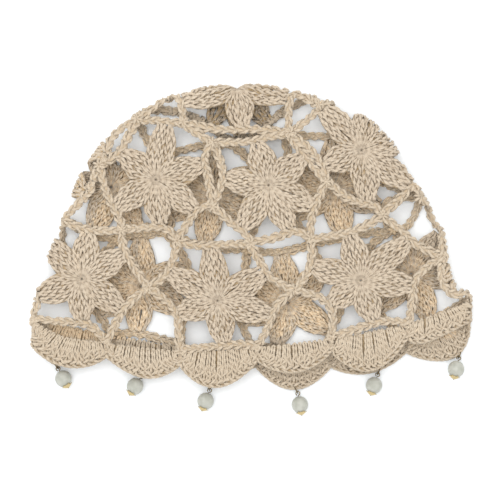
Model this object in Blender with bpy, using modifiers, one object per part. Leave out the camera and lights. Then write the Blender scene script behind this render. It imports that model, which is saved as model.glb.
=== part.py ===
"""A crochet skull cap of six-petalled flowers joined by a net of chain loops, with a scalloped hem.

It lies flat: the front layer over the back layer, turned at the fold line. Metres, +Z up. The crown
points along +Y, the head opening along -Y, and the surface that it lies on is z = 0.
"""

import math
from typing import NamedTuple

import bmesh
import bpy
import numpy as np
from mathutils import Vector

# The whole cap, lying flat
CAP_WIDTH = 0.267  # between the two folds at the head opening
CAP_DEPTH = 0.153  # from the hem's corners to the crown's fold
FOLD_RADIUS = 0.005  # of the middle of the cloth, round the fold
LOFT = 0.004  # how far the front layer swells up, away from the folds
LOFT_RUN = 0.045  # the distance from the fold in which it rises

# The flowers
FLOWER_THICKNESS = 0.0048
RIM_THICKNESS = 0.0030  # of a petal, at its edge
PETAL_LENGTH = 0.0282  # from the flower's centre
PETAL_WIDTH = 0.0168  # where two petals part
SHOULDER_ALONG = 0.76  # the shoulder's place, as a share of the petal's length
SHOULDER_WIDTH = 0.70  # its width, as a share of the petal's width
PARTING_MOST = 0.68  # two petals part by this share of their length, however close they stand
FLOWER_TOLERANCE = 0.0009  # how far a flat face may stray from the turn of the fold

# The chain loops
CHAIN_THICKNESS = 0.0036
CHAIN_GAP = 0.0007  # between a chain and the petal or the hem that it holds
LOOP_CLEARANCE = 0.0004  # between two loops, where they join
TIP_PULL = 0.4  # how far a loop keeps its heading as it leaves a tip, as a share of its run
JOIN_PULL = 0.06  # the same at a join
LOOP_TOLERANCE = 0.0011  # how far a straight run may stray from a loop's curve

# The hem
SCALLOP_DEPTH = 0.018  # of a scallop's edge below the line between its corners
SCALLOP_DROP = 0.0012  # of a scallop's upper edge below that line, halfway
SCALLOP_ROUNDNESS = 0.8  # under 1, an edge falls away from its notches more steeply
HEM_THICKNESS = 0.0034
HEM_EDGE_THICKNESS = 0.0014

# The bead drops
BEAD_DIAMETER = 0.010
BEAD_BORE = 0.0012
WIRE_THICKNESS = 0.0006
JUMP_RING_RADIUS = 0.0021  # of the middle of its wire
JUMP_RING_WIRE = 0.00056
HEM_EYE = 0.0018  # the hole in the hem that a jump ring passes through
HEM_EYE_INSET = 0.0017  # from the hem's edge to the middle of that hole
PIN_LOOP_RADIUS = 0.0012
PIN_HEAD = 0.0017
CATCH_ANGLE = 35  # degrees above level, where a pin's loop hangs in its jump ring
DROP_CLEARANCE = 0.0004
CAP_WALL = 0.0005
CAP_SPREAD = 31  # degrees of the bead that a bead cap covers, at its points

FRONT, BACK = 1, -1
LOWER_MIDDLE = FLOWER_THICKNESS / 2
CHAIN_REACH = CHAIN_THICKNESS / 2 + CHAIN_GAP

# The fold line, from the hem's left corner over the crown to its right corner.
# Each point is a share of half the cap's width and a share of its depth.
FOLD_LINE = [
    (-0.985, -0.300),
    (-0.985, -0.086),
    (-0.988, 0.059),
    (-0.950, 0.225),
    (-0.893, 0.366),
    (-0.848, 0.460),
    (-0.798, 0.605),
    (-0.727, 0.715),
    (-0.622, 0.818),
    (-0.440, 0.918),
    (-0.250, 0.973),
    (-0.065, 0.992),
    (0.110, 0.982),
    (0.270, 0.950),
    (0.440, 0.890),
    (0.560, 0.825),
    (0.660, 0.715),
    (0.757, 0.560),
    (0.845, 0.430),
    (0.880, 0.314),
    (0.920, 0.185),
    (0.987, 0.118),
    (0.987, 0.025),
    (0.987, -0.098),
    (0.987, -0.300),
]


class Flower(NamedTuple):
    """One motif: its petals in clockwise order, and the joins of the loops between them."""

    name: str
    side: int
    across: float  # of its centre, as a share of half the cap's width
    up: float  # of its centre, as a share of the cap's depth
    petals: tuple  # each petal's direction, in degrees
    reach: tuple  # each petal's length, as a share of PETAL_LENGTH
    joins: tuple  # the join, or the two joins, that the loop after each petal runs to


FLOWERS = [
    Flower(
        "crown", FRONT, -0.070, 0.992,
        (40, -12, -83, -165, -220, -270), (1.00, 1.06, 0.85, 1.15, 1.00, 1.00),
        ("top_right", "high_right", "high_left", "top_left", "peak_left", "peak_right"),
    ),
    Flower(
        "front_upper_left", FRONT, -0.431, 0.627,
        (143, 80, 18, -38, -85, -144), (0.89, 1.16, 1.00, 1.00, 0.91, 0.98),
        ("top_left", ("high_left", "upper_gap"), "middle_left", "waist_left", "side_left",
         "shoulder_left"),
    ),
    Flower(
        "front_upper_mid", FRONT, 0.072, 0.605,
        (105, 38, -25, -65, -122, -188), (0.90, 0.89, 0.98, 1.00, 1.02, 0.89),
        ("high_right", "upper_right", "middle_right", "centre", "middle_left", "upper_gap"),
    ),
    Flower(
        "front_upper_right", FRONT, 0.488, 0.743,
        (133, 83, 12, -37, -84, -157), (1.15, 0.96, 0.95, 1.20, 1.06, 0.82),
        ("top_right", "turn_right", "side_right", "waist_right", "upper_right", "high_right"),
    ),
    Flower(
        "front_lower_left", FRONT, -0.763, 0.240,
        (134, 81, 30, -36, -90, -157), (1.00, 0.96, 1.00, 1.00, 0.83, 0.94),
        ("edge_left", "side_left", "low_gap_left", "hem_1", "hem_0", "low_turn_left"),
    ),
    Flower(
        "front_lower_mid", FRONT, -0.156, 0.155,
        (97, 31, -14, -82, -162, -211), (1.09, 1.10, 1.10, 0.86, 0.83, 1.13),
        ("centre", "low_gap_right", "hem_3", "hem_2", "low_gap_left", "waist_left"),
    ),
    Flower(
        "front_lower_right", FRONT, 0.483, 0.234,
        (104, 41, -5, -72, -142, -196), (0.96, 1.27, 1.04, 0.85, 0.75, 1.02),
        ("waist_right", "low_right", "hem_5", "hem_4", "low_gap_right", "middle_right"),
    ),
    Flower(
        "back_upper_right", BACK, 0.371, 0.600,
        (92, 25, -24, -80, -144, -200), (1.00, 0.77, 1.00, 1.00, 1.00, 1.00),
        ("turn_right", "side_right", "back_side_right", "back_waist_right", "back_gap", "peak_right"),
    ),
    Flower(
        "back_upper_mid", BACK, -0.178, 0.565,
        (92, 30, -25, -100, -155, -210), (1.00, 1.00, 1.00, 1.00, 0.90, 0.90),
        ("peak_left", "back_gap", "back_centre", "back_waist_left", "back_high_left",
         "back_top_left"),
    ),
    Flower(
        "back_upper_left", BACK, -0.640, 0.600,
        (110, 32, -12, -56, -112, -184), (1.00, 0.91, 0.87, 1.00, 1.00, 1.00),
        (("top_left", "back_top_left"), "back_high_left", "back_waist_left", "back_edge_left",
         "edge_left", "shoulder_left"),
    ),
    Flower(
        "back_lower_right", BACK, 0.717, 0.259,
        (105, 54, -4, -68, -135, -200), (0.85, 1.00, 1.00, 1.00, 1.00, 1.00),
        ("side_right", "low_right", "hem_6", "hem_7", "back_low_right", "back_side_right"),
    ),
    Flower(
        "back_lower_mid", BACK, 0.160, 0.145,
        (97, 42, -33, -105, -160, -205), (1.00, 1.00, 1.00, 0.88, 1.00, 1.00),
        ("back_waist_right", "back_low_right", "hem_8", "hem_9", "back_low_left", "back_centre"),
    ),
    Flower(
        "back_lower_left", BACK, -0.504, 0.209,
        (90, 22, -28, -95, -148, -212), (1.00, 1.00, 1.00, 0.93, 1.00, 1.00),
        ("back_waist_left", "back_low_left", "hem_10", "hem_11", "low_turn_left", "back_edge_left"),
    ),
]


# Where chain loops join away from the middle of the petal tips that meet there, as shares of half
# the cap's width and of its depth. Each is on the plan of the first flower that names the join.
MOVED_JOINS = {
    "top_left": (-0.515, 0.863),
    "high_left": (-0.308, 0.851),
    "upper_gap": (-0.178, 0.771),
    "middle_left": (-0.178, 0.522),
    "waist_left": (-0.335, 0.388),
    "centre": (-0.009, 0.380),
    "middle_right": (0.258, 0.398),
    "side_right": (0.748, 0.557),
    "low_right": (0.847, 0.329),
    "shoulder_left": (-0.685, 0.684),
    "top_right": (0.294, 0.918),
    "back_side_right": (0.635, 0.435),
}


class Scallop(NamedTuple):
    """One shell of the hem, which runs from its own corner to the next one's."""

    side: int
    across: float  # of its first corner, as a share of half the cap's width
    up: float  # of its first corner, as a share of the cap's depth
    notch: float  # of the hem's edge below its first corner, as a share of SCALLOP_DEPTH
    depth: float  # of its edge where it hangs lowest, as a share of SCALLOP_DEPTH
    lowest: float  # where that is, as a share of its width


SCALLOPS = [
    Scallop(FRONT, -0.987, 0.086, 0.90, 1.29, 0.37),
    Scallop(FRONT, -0.654, -0.004, 0.53, 1.09, 0.53),
    Scallop(FRONT, -0.323, -0.035, 0.53, 1.34, 0.47),
    Scallop(FRONT, 0.020, -0.020, 0.53, 1.07, 0.52),
    Scallop(FRONT, 0.353, 0.016, 0.53, 1.41, 0.52),
    Scallop(FRONT, 0.694, 0.072, 0.53, 0.92, 0.36),
    Scallop(BACK, 0.989, 0.113, 0.42, 1.44, 0.20),
    Scallop(BACK, 0.694, 0.012, 0.53, 1.00, 0.48),
    Scallop(BACK, 0.353, -0.047, 0.53, 1.28, 0.50),
    Scallop(BACK, 0.020, -0.049, 0.53, 1.31, 0.66),
    Scallop(BACK, -0.326, -0.021, 0.53, 1.17, 0.62),
    Scallop(BACK, -0.631, 0.026, 0.53, 1.46, 0.70),
]


class Drop(NamedTuple):
    """One bead drop on the back layer's hem."""

    scallop: int  # its place in SCALLOPS
    along: float  # as a share of that scallop's width
    ring_heading: float  # degrees, the way that its jump ring points
    pin_heading: float  # degrees, the way that its bead points


DROPS = [
    Drop(11, 0.725, -55, -60),
    Drop(10, 0.595, -72, -122),
    Drop(9, 0.635, -70, -110),
    Drop(8, 0.470, -62, -80),
    Drop(7, 0.360, -112, -110),
    Drop(6, 0.140, -110, -105),
]


# The scene's collections, materials and small helpers


def clear_scene():
    for thing in list(bpy.data.objects):
        bpy.data.objects.remove(thing, do_unlink=True)


def new_collection(name, helper=False):
    collection = bpy.data.collections.new(name)
    bpy.context.scene.collection.children.link(collection)
    collection.hide_render = helper
    return collection


def new_material(name, colour, roughness, metallic=0.0, transmission=0.0):
    material = bpy.data.materials.new(name)
    material.use_nodes = True
    shader = material.node_tree.nodes["Principled BSDF"]
    shader.inputs["Base Color"].default_value = (*colour, 1.0)
    shader.inputs["Roughness"].default_value = roughness
    shader.inputs["Metallic"].default_value = metallic
    shader.inputs["Transmission Weight"].default_value = transmission
    return material


def new_object(name, data, collection, material=None):
    thing = bpy.data.objects.new(name, data)
    collection.objects.link(thing)
    if material:
        data.materials.append(material)
    return thing


def mesh_from(work, name, smooth=False):
    """The bmesh as a mesh, which ends the bmesh."""
    mesh = bpy.data.meshes.new(name)
    work.to_mesh(mesh)
    work.free()
    if smooth:
        mesh.shade_smooth()
    return mesh


def curve_as_mesh(curve_object, name):
    """A mesh object in the curve's place, with its caps welded on."""
    graph = bpy.context.evaluated_depsgraph_get()
    mesh = bpy.data.meshes.new_from_object(curve_object.evaluated_get(graph))
    work = bmesh.new()
    work.from_mesh(mesh)
    bmesh.ops.remove_doubles(work, verts=work.verts, dist=1e-6)
    bmesh.ops.recalc_face_normals(work, faces=work.faces)
    work.to_mesh(mesh)
    work.free()
    mesh.shade_smooth()
    solid = bpy.data.objects.new(name, mesh)
    solid.matrix_world = curve_object.matrix_world
    for collection in curve_object.users_collection:
        collection.objects.link(solid)
    bpy.data.objects.remove(curve_object)
    return solid


def poly_tube(
    name, points, thickness, collection, material, closed=False, swell=None, resolution=1
):
    """A wire or a cord through the points. swell gives each point's thickness as a share."""
    curve = bpy.data.curves.new(name, "CURVE")
    curve.dimensions = "3D"
    curve.bevel_depth = thickness / 2
    curve.bevel_resolution = resolution
    curve.use_fill_caps = True
    spline = curve.splines.new("POLY")
    spline.points.add(len(points) - 1)
    for place, point in enumerate(points):
        spline.points[place].co = (*point, 1.0)
        spline.points[place].radius = swell[place] if swell else 1.0
    spline.use_cyclic_u = closed
    return new_object(name, curve, collection, material)


# The lay of the cloth: from a place on one side's flat plan to its place in space


def smooth_line(points, steps=14):
    """A Catmull-Rom curve through the points, as a list of points along it."""
    points = np.array(points, float)
    padded = np.vstack([2 * points[0] - points[1], points, 2 * points[-1] - points[-2]])
    line = []
    for a, b, c, d in zip(padded, padded[1:], padded[2:], padded[3:]):
        for t in np.arange(steps) / steps:
            line.append(
                0.5 * (2 * b + (c - a) * t + (2 * a - 5 * b + 4 * c - d) * t**2
                       + (3 * b - 3 * c + d - a) * t**3)
            )
    return np.array([*line, points[-1]])


def on_plan(across, up):
    """A place on the flat plan, from its shares of the cap's half width and depth."""
    return np.array([across * CAP_WIDTH / 2, up * CAP_DEPTH])


FOLD = smooth_line([on_plan(*point) for point in FOLD_LINE])


def nearest_fold(points):
    """Each point's nearest place on the fold line, and how far inside the fold it lies."""
    start, run = FOLD[:-1], np.diff(FOLD, axis=0)
    offset = points[:, None] - start[None]
    share = np.clip((offset * run).sum(2) / (run**2).sum(1), 0, 1)
    feet = start[None] + share[..., None] * run[None]
    best = np.linalg.norm(points[:, None] - feet, axis=2).argmin(axis=1)
    rows = np.arange(len(points))
    foot = feet[rows, best]
    inward = np.stack([run[best, 1], -run[best, 0]], axis=1)
    inward /= np.linalg.norm(inward, axis=1)[:, None]
    return foot, ((points - foot) * inward).sum(axis=1)


def ease(share):
    share = np.clip(share, 0, 1)
    return share * share * (3 - 2 * share)


def lie(side, points):
    """The middle of the cloth in space, for points on one side's plan. Past the fold it turns under."""
    points = np.atleast_2d(np.asarray(points, float))
    foot, inside = nearest_fold(points)
    over = inside < 0
    flat = np.where(over[:, None], 2 * foot - points, points)
    sides = np.where(over, -side, side)
    depth = np.abs(inside)
    turn = 1 - np.clip(depth / FOLD_RADIUS, 0, 1)
    swell = LOFT * ease(depth / LOFT_RUN) * ease(flat[:, 1] / LOFT_RUN) * (sides == FRONT)
    height = LOWER_MIDDLE + FOLD_RADIUS + sides * FOLD_RADIUS * np.sqrt(1 - turn**2) + swell
    return np.column_stack([flat, height])


def seen_from(side, own_side, point):
    """A point of one side's plan, on another side's plan: past the fold line it is mirrored."""
    if side == own_side:
        return point
    foot, _ = nearest_fold(np.atleast_2d(point))
    return 2 * foot[0] - point


def heading(degrees):
    return np.array([math.cos(math.radians(degrees)), math.sin(math.radians(degrees))])


# The flowers


def centre_of(flower):
    return on_plan(flower.across, flower.up)


def tip_of(flower, petal, past=0.0):
    petal %= len(flower.petals)
    length = PETAL_LENGTH * flower.reach[petal] + past
    return centre_of(flower) + length * heading(flower.petals[petal])


def gap_after(flower, petal):
    """The angle from one petal to the next, in degrees."""
    following = flower.petals[(petal + 1) % len(flower.petals)]
    return (flower.petals[petal] - following) % 360


def flower_outline(flower):
    """Clockwise round the flower: for each petal a shoulder, its tip, a shoulder and the parting."""
    centre = centre_of(flower)
    outline = []
    for petal, angle in enumerate(flower.petals):
        length = PETAL_LENGTH * flower.reach[petal]
        axis = heading(angle)
        across = np.array([axis[1], -axis[0]])
        shoulder = SHOULDER_ALONG * length * axis
        gaps = (gap_after(flower, petal - 1), gap_after(flower, petal))
        widths = [
            min(
                SHOULDER_WIDTH * PETAL_WIDTH / 2,
                0.9 * SHOULDER_ALONG * length * math.tan(math.radians(min(gap, 120) / 2)),
            )
            for gap in gaps
        ]
        shorter = min(length, PETAL_LENGTH * flower.reach[(petal + 1) % len(flower.petals)])
        parting = min(
            PARTING_MOST * shorter, PETAL_WIDTH / 2 / math.sin(math.radians(gaps[1] / 2))
        )
        outline += [
            centre + shoulder - widths[0] * across,
            centre + length * axis,
            centre + shoulder + widths[1] * across,
            centre + parting * heading(angle - gaps[1] / 2),
        ]
    return outline


def refine(work, side, passes=4):
    """Cuts the edges of a flat plan that would bridge the turn of the fold."""
    for _ in range(passes):
        edges = list(work.edges)
        ends = np.array([[v.co[:2] for v in edge.verts] for edge in edges])
        first, last = lie(side, ends[:, 0]), lie(side, ends[:, 1])
        missed = np.linalg.norm(lie(side, ends.mean(axis=1)) - (first + last) / 2, axis=1)
        long = [edge for edge, miss in zip(edges, missed) if miss > FLOWER_TOLERANCE]
        if not long:
            return
        bmesh.ops.subdivide_edges(work, edges=long, cuts=1)
        bmesh.ops.triangulate(work, faces=work.faces)


def lay_down(work, side):
    """Moves a flat plan's points to where they lie in space."""
    verts = list(work.verts)
    for vert, place in zip(verts, lie(side, [v.co[:2] for v in verts])):
        vert.co = place


def add_flower(flower, collection, material):
    outline = flower_outline(flower)
    work = bmesh.new()
    bmesh.ops.create_circle(work, cap_ends=True, cap_tris=True, segments=len(outline), radius=1)
    centre = min(work.verts, key=lambda v: v.co.length)
    rim = sorted((v for v in work.verts if v != centre), key=lambda v: -math.atan2(v.co.y, v.co.x))
    centre.co = (*centre_of(flower), 0)
    for vert, point in zip(rim, outline):
        vert.co = (*point, 0)
    bmesh.ops.subdivide_edges(work, edges=list(centre.link_edges), cuts=1)
    bmesh.ops.triangulate(work, faces=work.faces)
    refine(work, flower.side)
    lay_down(work, flower.side)
    work.verts.index_update()
    on_rim = [v.index for v in work.verts if v.is_boundary]
    middle = [v.index for v in work.verts if not v.is_boundary]
    thing = new_object(
        f"flower_{flower.name}", mesh_from(work, "flower", smooth=True), collection, material
    )
    thickness = thing.vertex_groups.new(name="thickness")
    thickness.add(middle, 1.0, "REPLACE")
    thickness.add(on_rim, RIM_THICKNESS / FLOWER_THICKNESS, "REPLACE")
    add_wall(thing, FLOWER_THICKNESS, thickness)
    return thing


def add_wall(thing, thickness, group=None):
    wall = thing.modifiers.new("wall", "SOLIDIFY")
    wall.thickness = thickness
    wall.offset = 0
    if group:
        wall.vertex_group = group.name
    return wall


# The chain loops


def corner_of(number):
    """The first corner of a scallop. Where the hem turns at a fold, it lies on the fold line."""
    scallop = SCALLOPS[number % len(SCALLOPS)]
    corner = on_plan(scallop.across, scallop.up)
    if SCALLOPS[number % len(SCALLOPS) - 1].side == scallop.side:
        return corner
    return nearest_fold(corner[None])[0][0]


def joins_after(flower, petal):
    joins = flower.joins[petal]
    return (joins,) if isinstance(joins, str) else joins


def join_places():
    """Each join's place, as (side, point, loops): most lie amid the petal tips that meet at them."""
    meeting = {}
    for flower in FLOWERS:
        for petal in range(len(flower.petals)):
            for join in joins_after(flower, petal):
                tips = meeting.setdefault(join, [])
                tips += [(flower.side, tip_of(flower, end)) for end in (petal, petal + 1)]
    places = {}
    for join, tips in meeting.items():
        side = tips[0][0]
        seen = [seen_from(side, own_side, tip) for own_side, tip in tips]
        place = on_plan(*MOVED_JOINS[join]) if join in MOVED_JOINS else np.mean(seen, axis=0)
        places[join] = (side, place, len(tips) // 2)
    for number, scallop in enumerate(SCALLOPS):
        places[f"hem_{number}"] = (scallop.side, corner_of(number), 1)
    return places


def bezier(a, b, c, d, steps):
    t = np.linspace(0, 1, steps)[:, None]
    return a * (1 - t) ** 3 + 3 * b * t * (1 - t) ** 2 + 3 * c * t**2 * (1 - t) + d * t**3


def ring_legs(flower, places, steps=14):
    """The chain round one flower, on its side's plan, in legs between the tips and the joins.

    Loops that meet at a join stop short of its middle, the further the more of them there are.
    """
    centre = centre_of(flower)
    legs = []
    for petal in range(len(flower.petals)):
        stops = [(tip_of(flower, petal, CHAIN_REACH), heading(flower.petals[petal] - 90), TIP_PULL)]
        for join in joins_after(flower, petal):
            side, place, loops = places[join]
            place = seen_from(flower.side, side, place)
            outward = (place - centre) / np.linalg.norm(place - centre)
            if join.startswith("hem"):
                stops.append((place, np.array([-1.0, 0.0]), JOIN_PULL))
            else:
                along = np.array([outward[1], -outward[0]])
                short = (CHAIN_THICKNESS + LOOP_CLEARANCE) / 2 / math.sin(math.pi / max(loops, 2))
                stops.append((place - short * outward, along, JOIN_PULL))
        following = flower.petals[(petal + 1) % len(flower.petals)]
        stops.append((tip_of(flower, petal + 1, CHAIN_REACH), heading(following - 90), TIP_PULL))
        for (start, leave, pull), (end, arrive, brake) in zip(stops, stops[1:]):
            run = np.linalg.norm(end - start)
            legs.append(
                bezier(start, start + pull * run * leave, end - brake * run * arrive, end, steps)
            )
    return legs


def thin_out(points):
    """Fewer points along the same line: those that lie on the run between their neighbours go."""
    if len(points) < 3:
        return list(points)
    run = points[-1] - points[0]
    offset = points - points[0]
    missed = np.linalg.norm(np.cross(offset, run / np.linalg.norm(run)), axis=1)
    worst = int(missed.argmax())
    if missed[worst] < LOOP_TOLERANCE:
        return [points[0], points[-1]]
    return thin_out(points[: worst + 1])[:-1] + thin_out(points[worst:])


def add_loop(flower, places, collection, material):
    points = []
    for leg in ring_legs(flower, places):
        points += thin_out(lie(flower.side, leg))[:-1]
    tube = poly_tube(
        "loop", points, CHAIN_THICKNESS, collection, material, closed=True, resolution=0
    )
    return curve_as_mesh(tube, f"chain_loop_{flower.name}")


# The scalloped hem


def scallop_edges(number, along):
    """The upper and the lower edge of the hem, this share of the way along one scallop."""
    scallop = SCALLOPS[number]
    start, end = corner_of(number), corner_of(number + 1)
    corners = start + (end - start) * along
    sag = CHAIN_REACH + (SCALLOP_DROP - CHAIN_REACH) * (4 * along * (1 - along)) ** 3
    lean = math.log(0.5) / math.log(scallop.lowest)
    bulge = max(math.sin(math.pi * along**lean), 0) ** SCALLOP_ROUNDNESS
    following = SCALLOPS[(number + 1) % len(SCALLOPS)]
    shallow = scallop.notch + (following.notch - scallop.notch) * along
    depth = SCALLOP_DEPTH * (shallow + (scallop.depth - shallow) * bulge)
    return corners - np.array([0, sag]), corners - np.array([0, depth])


def stations(number, even=7):
    """Where one scallop's columns stand: evenly, and closer together round a fold."""
    scallop = SCALLOPS[number]
    following = SCALLOPS[(number + 1) % len(SCALLOPS)]
    width = np.linalg.norm(corner_of(number + 1) - corner_of(number))
    turn = FOLD_RADIUS / width * np.array([0.08, 0.3, 0.65, 1.1])
    shares = set((np.arange(even) / even).tolist())
    before = SCALLOPS[number - 1]
    if before.side != scallop.side:
        shares = {share for share in shares if share == 0 or share > turn[-1]} | set(turn)
    if following.side != scallop.side:
        shares = {share for share in shares if share < 1 - turn[-1]} | set(1 - turn)
    return sorted(shares)


def add_hem(collection, helpers, material):
    work = bmesh.new()
    columns = []
    for number, scallop in enumerate(SCALLOPS):
        for along in stations(number):
            upper, lower = scallop_edges(number, along)
            rows = lie(scallop.side, [upper, (upper + lower) / 2, lower])
            columns.append([work.verts.new(place) for place in rows])
    for column, following in zip(columns, columns[1:] + columns[:1]):
        for row in range(2):
            work.faces.new(
                [column[row], column[row + 1], following[row + 1], following[row]]
            )
    bmesh.ops.recalc_face_normals(work, faces=work.faces)
    work.verts.index_update()
    thin = [column[2].index for column in columns]
    thick = [vert.index for column in columns for vert in column[:2]]
    hem = new_object("scalloped_hem", mesh_from(work, "hem", smooth=True), collection, material)
    thickness = hem.vertex_groups.new(name="thickness")
    thickness.add(thick, 1.0, "REPLACE")
    thickness.add(thin, HEM_EDGE_THICKNESS / HEM_THICKNESS, "REPLACE")
    add_wall(hem, HEM_THICKNESS, thickness)
    for drop in DROPS:
        work = bmesh.new()
        bmesh.ops.create_cone(
            work, cap_ends=True, segments=8, radius1=HEM_EYE / 2, radius2=HEM_EYE / 2,
            depth=3 * HEM_THICKNESS,
        )
        eye = new_object("hem_eye", mesh_from(work, "hem_eye"), helpers)
        eye.hide_render = True
        eye.display_type = "WIRE"
        eye.location = (*hem_edge(drop) - HEM_EYE_INSET * heading(drop.ring_heading), LOWER_MIDDLE)
    cut = hem.modifiers.new("eyes", "BOOLEAN")
    cut.operation = "DIFFERENCE"
    cut.operand_type = "COLLECTION"
    cut.collection = helpers
    cut.solver = "EXACT"
    return hem


def hem_edge(drop):
    return scallop_edges(drop.scallop, drop.along)[1]


# The bead drops. Each hangs in its own frame: a jump ring stands upright through the hem, and a
# head pin hangs in it by its loop, with the bead and the bead cap on its stem.


def ring_centre(drop):
    reach = JUMP_RING_RADIUS - HEM_EYE_INSET
    return Vector((*hem_edge(drop) + reach * heading(drop.ring_heading), LOWER_MIDDLE))


def loop_centre(drop):
    catch = math.radians(CATCH_ANGLE)
    outward = Vector((*heading(drop.ring_heading), 0))
    hang = PIN_LOOP_RADIUS - WIRE_THICKNESS / 2 - JUMP_RING_WIRE / 2 - DROP_CLEARANCE
    arm = JUMP_RING_RADIUS * math.cos(catch) + hang
    return ring_centre(drop) + arm * outward + Vector((0, 0, JUMP_RING_RADIUS * math.sin(catch)))


def pin_axis(drop):
    """From the pin's loop to the bead's centre, which lies one bead radius above the surface."""
    rise = BEAD_DIAMETER / 2 - loop_centre(drop).z
    level = math.sqrt(bead_distance() ** 2 - rise**2)
    return Vector((*level * heading(drop.pin_heading), rise)).normalized()


def bead_distance():
    return PIN_LOOP_RADIUS + WIRE_THICKNESS / 2 + DROP_CLEARANCE + BEAD_DIAMETER / 2


def bead_centre(drop):
    return loop_centre(drop) + bead_distance() * pin_axis(drop)


def add_jump_ring(number, drop, collection, material):
    outward = Vector((*heading(drop.ring_heading), 0))
    work = bmesh.new()
    sides, around = 5, 12
    for step in range(sides):
        turn = 2 * math.pi * step / sides
        work.verts.new(
            (JUMP_RING_RADIUS + JUMP_RING_WIRE / 2 * math.cos(turn), 0,
             JUMP_RING_WIRE / 2 * math.sin(turn))
        )
    work.verts.ensure_lookup_table()
    for step in range(sides):
        work.edges.new((work.verts[step], work.verts[(step + 1) % sides]))
    bmesh.ops.spin(
        work, geom=work.verts[:] + work.edges[:], cent=(0, 0, 0), axis=(0, 0, 1),
        angle=2 * math.pi, steps=around, use_merge=True,
    )
    bmesh.ops.recalc_face_normals(work, faces=work.faces)
    ring = new_object(
        f"jump_ring_{number}", mesh_from(work, "jump_ring", smooth=True), collection, material
    )
    ring.location = ring_centre(drop)
    ring.rotation_mode = "QUATERNION"
    ring.rotation_quaternion = outward.cross(Vector((0, 0, 1))).to_track_quat("Z", "Y")
    return ring


def cap_radius():
    """Of the middle of a bead cap's wall, from the bead's centre."""
    return BEAD_DIAMETER / 2 + DROP_CLEARANCE + CAP_WALL / 2


def add_head_pin(number, drop, collection, material, around=9, open_from=15, open_to=325):
    axis = pin_axis(drop)
    sideways = Vector((0, 0, 1)).cross(axis).normalized()
    centre = loop_centre(drop)
    bead = bead_distance()
    under_head = bead + cap_radius() + CAP_WALL / 2 + DROP_CLEARANCE
    stem = [
        under_head + 0.6 * WIRE_THICKNESS,
        under_head + 0.2 * WIRE_THICKNESS,
        under_head,
        PIN_LOOP_RADIUS + 1.2 * WIRE_THICKNESS,
    ]
    swell = [PIN_HEAD / WIRE_THICKNESS, PIN_HEAD / WIRE_THICKNESS, 1, 1] + [1] * (around + 1)
    points = [centre + along * axis for along in stem]
    for step in range(around + 1):
        turn = math.radians(open_from + (open_to - open_from) * step / around)
        arm = math.cos(turn) * axis + math.sin(turn) * sideways
        points.append(centre + PIN_LOOP_RADIUS * arm)
    pin = poly_tube("pin_wire", points, WIRE_THICKNESS, collection, material, swell=swell)
    return curve_as_mesh(pin, f"head_pin_{number}")


def spun(name, profile, steps, collection, material, closed):
    """A turned piece about Z. The profile runs down its outer side."""
    mesh = bpy.data.meshes.new(name)
    count = len(profile)
    edges = [(i, (i + 1) % count) for i in range(count if closed else count - 1)]
    mesh.from_pydata([(radius, 0, height) for radius, height in profile], edges, [])
    thing = new_object(name, mesh, collection, material)
    screw = thing.modifiers.new("turned", "SCREW")
    screw.steps = steps
    screw.render_steps = steps
    screw.use_merge_vertices = True
    screw.merge_threshold = 1e-5
    screw.use_smooth_shade = True
    return thing


def add_bead(number, drop, collection, material, steps=10, rows=6):
    radius, bore = BEAD_DIAMETER / 2, BEAD_BORE / 2
    mouth = math.asin(bore / radius)
    arc = np.linspace(mouth, math.pi - mouth, rows + 1)
    profile = [(radius * math.sin(a), radius * math.cos(a)) for a in arc]
    bead = spun(f"bead_{number}", profile, steps, collection, material, closed=True)
    return turn_to(bead, bead_centre(drop), pin_axis(drop))


def turn_to(thing, centre, axis):
    thing.location = centre
    thing.rotation_mode = "QUATERNION"
    thing.rotation_quaternion = axis.to_track_quat("Z", "Y")
    return thing


def add_bead_cap(number, drop, collection, material, steps=10):
    radius = cap_radius()
    mouth = math.degrees(math.asin((BEAD_BORE + CAP_WALL) / 2 / radius))
    valley = CAP_SPREAD * 0.72
    arc = [math.radians(a) for a in (mouth, valley)]
    profile = [(radius * math.sin(a), radius * math.cos(a)) for a in arc]
    bowl = spun("bowl", profile, steps, collection, material, closed=False)
    graph = bpy.context.evaluated_depsgraph_get()
    work = bmesh.new()
    work.from_mesh(bpy.data.meshes.new_from_object(bowl.evaluated_get(graph)))
    bpy.data.objects.remove(bowl)
    lowest = min(v.co.z for v in work.verts)
    rim = [v for v in work.verts if v.co.z < lowest + 1e-5]
    rim.sort(key=lambda v: math.atan2(v.co.y, v.co.x))
    point = math.radians(CAP_SPREAD)
    for vert in rim[::2]:
        outward = Vector((vert.co.x, vert.co.y, 0)).normalized()
        vert.co = radius * math.sin(point) * outward + Vector((0, 0, radius * math.cos(point)))
    cap = new_object(
        f"bead_cap_{number}", mesh_from(work, "bead_cap", smooth=True), collection, material
    )
    add_wall(cap, CAP_WALL)
    return turn_to(cap, bead_centre(drop), pin_axis(drop))


# The whole cap


def bounds_of(things):
    """The lowest and the highest corner of the finished pieces."""
    graph = bpy.context.evaluated_depsgraph_get()
    corners = []
    for thing in things:
        shape = thing.evaluated_get(graph)
        mesh = shape.to_mesh()
        corners += [shape.matrix_world @ vert.co for vert in mesh.vertices]
        shape.to_mesh_clear()
    corners = np.array(corners)
    return corners.min(axis=0), corners.max(axis=0)


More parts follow.
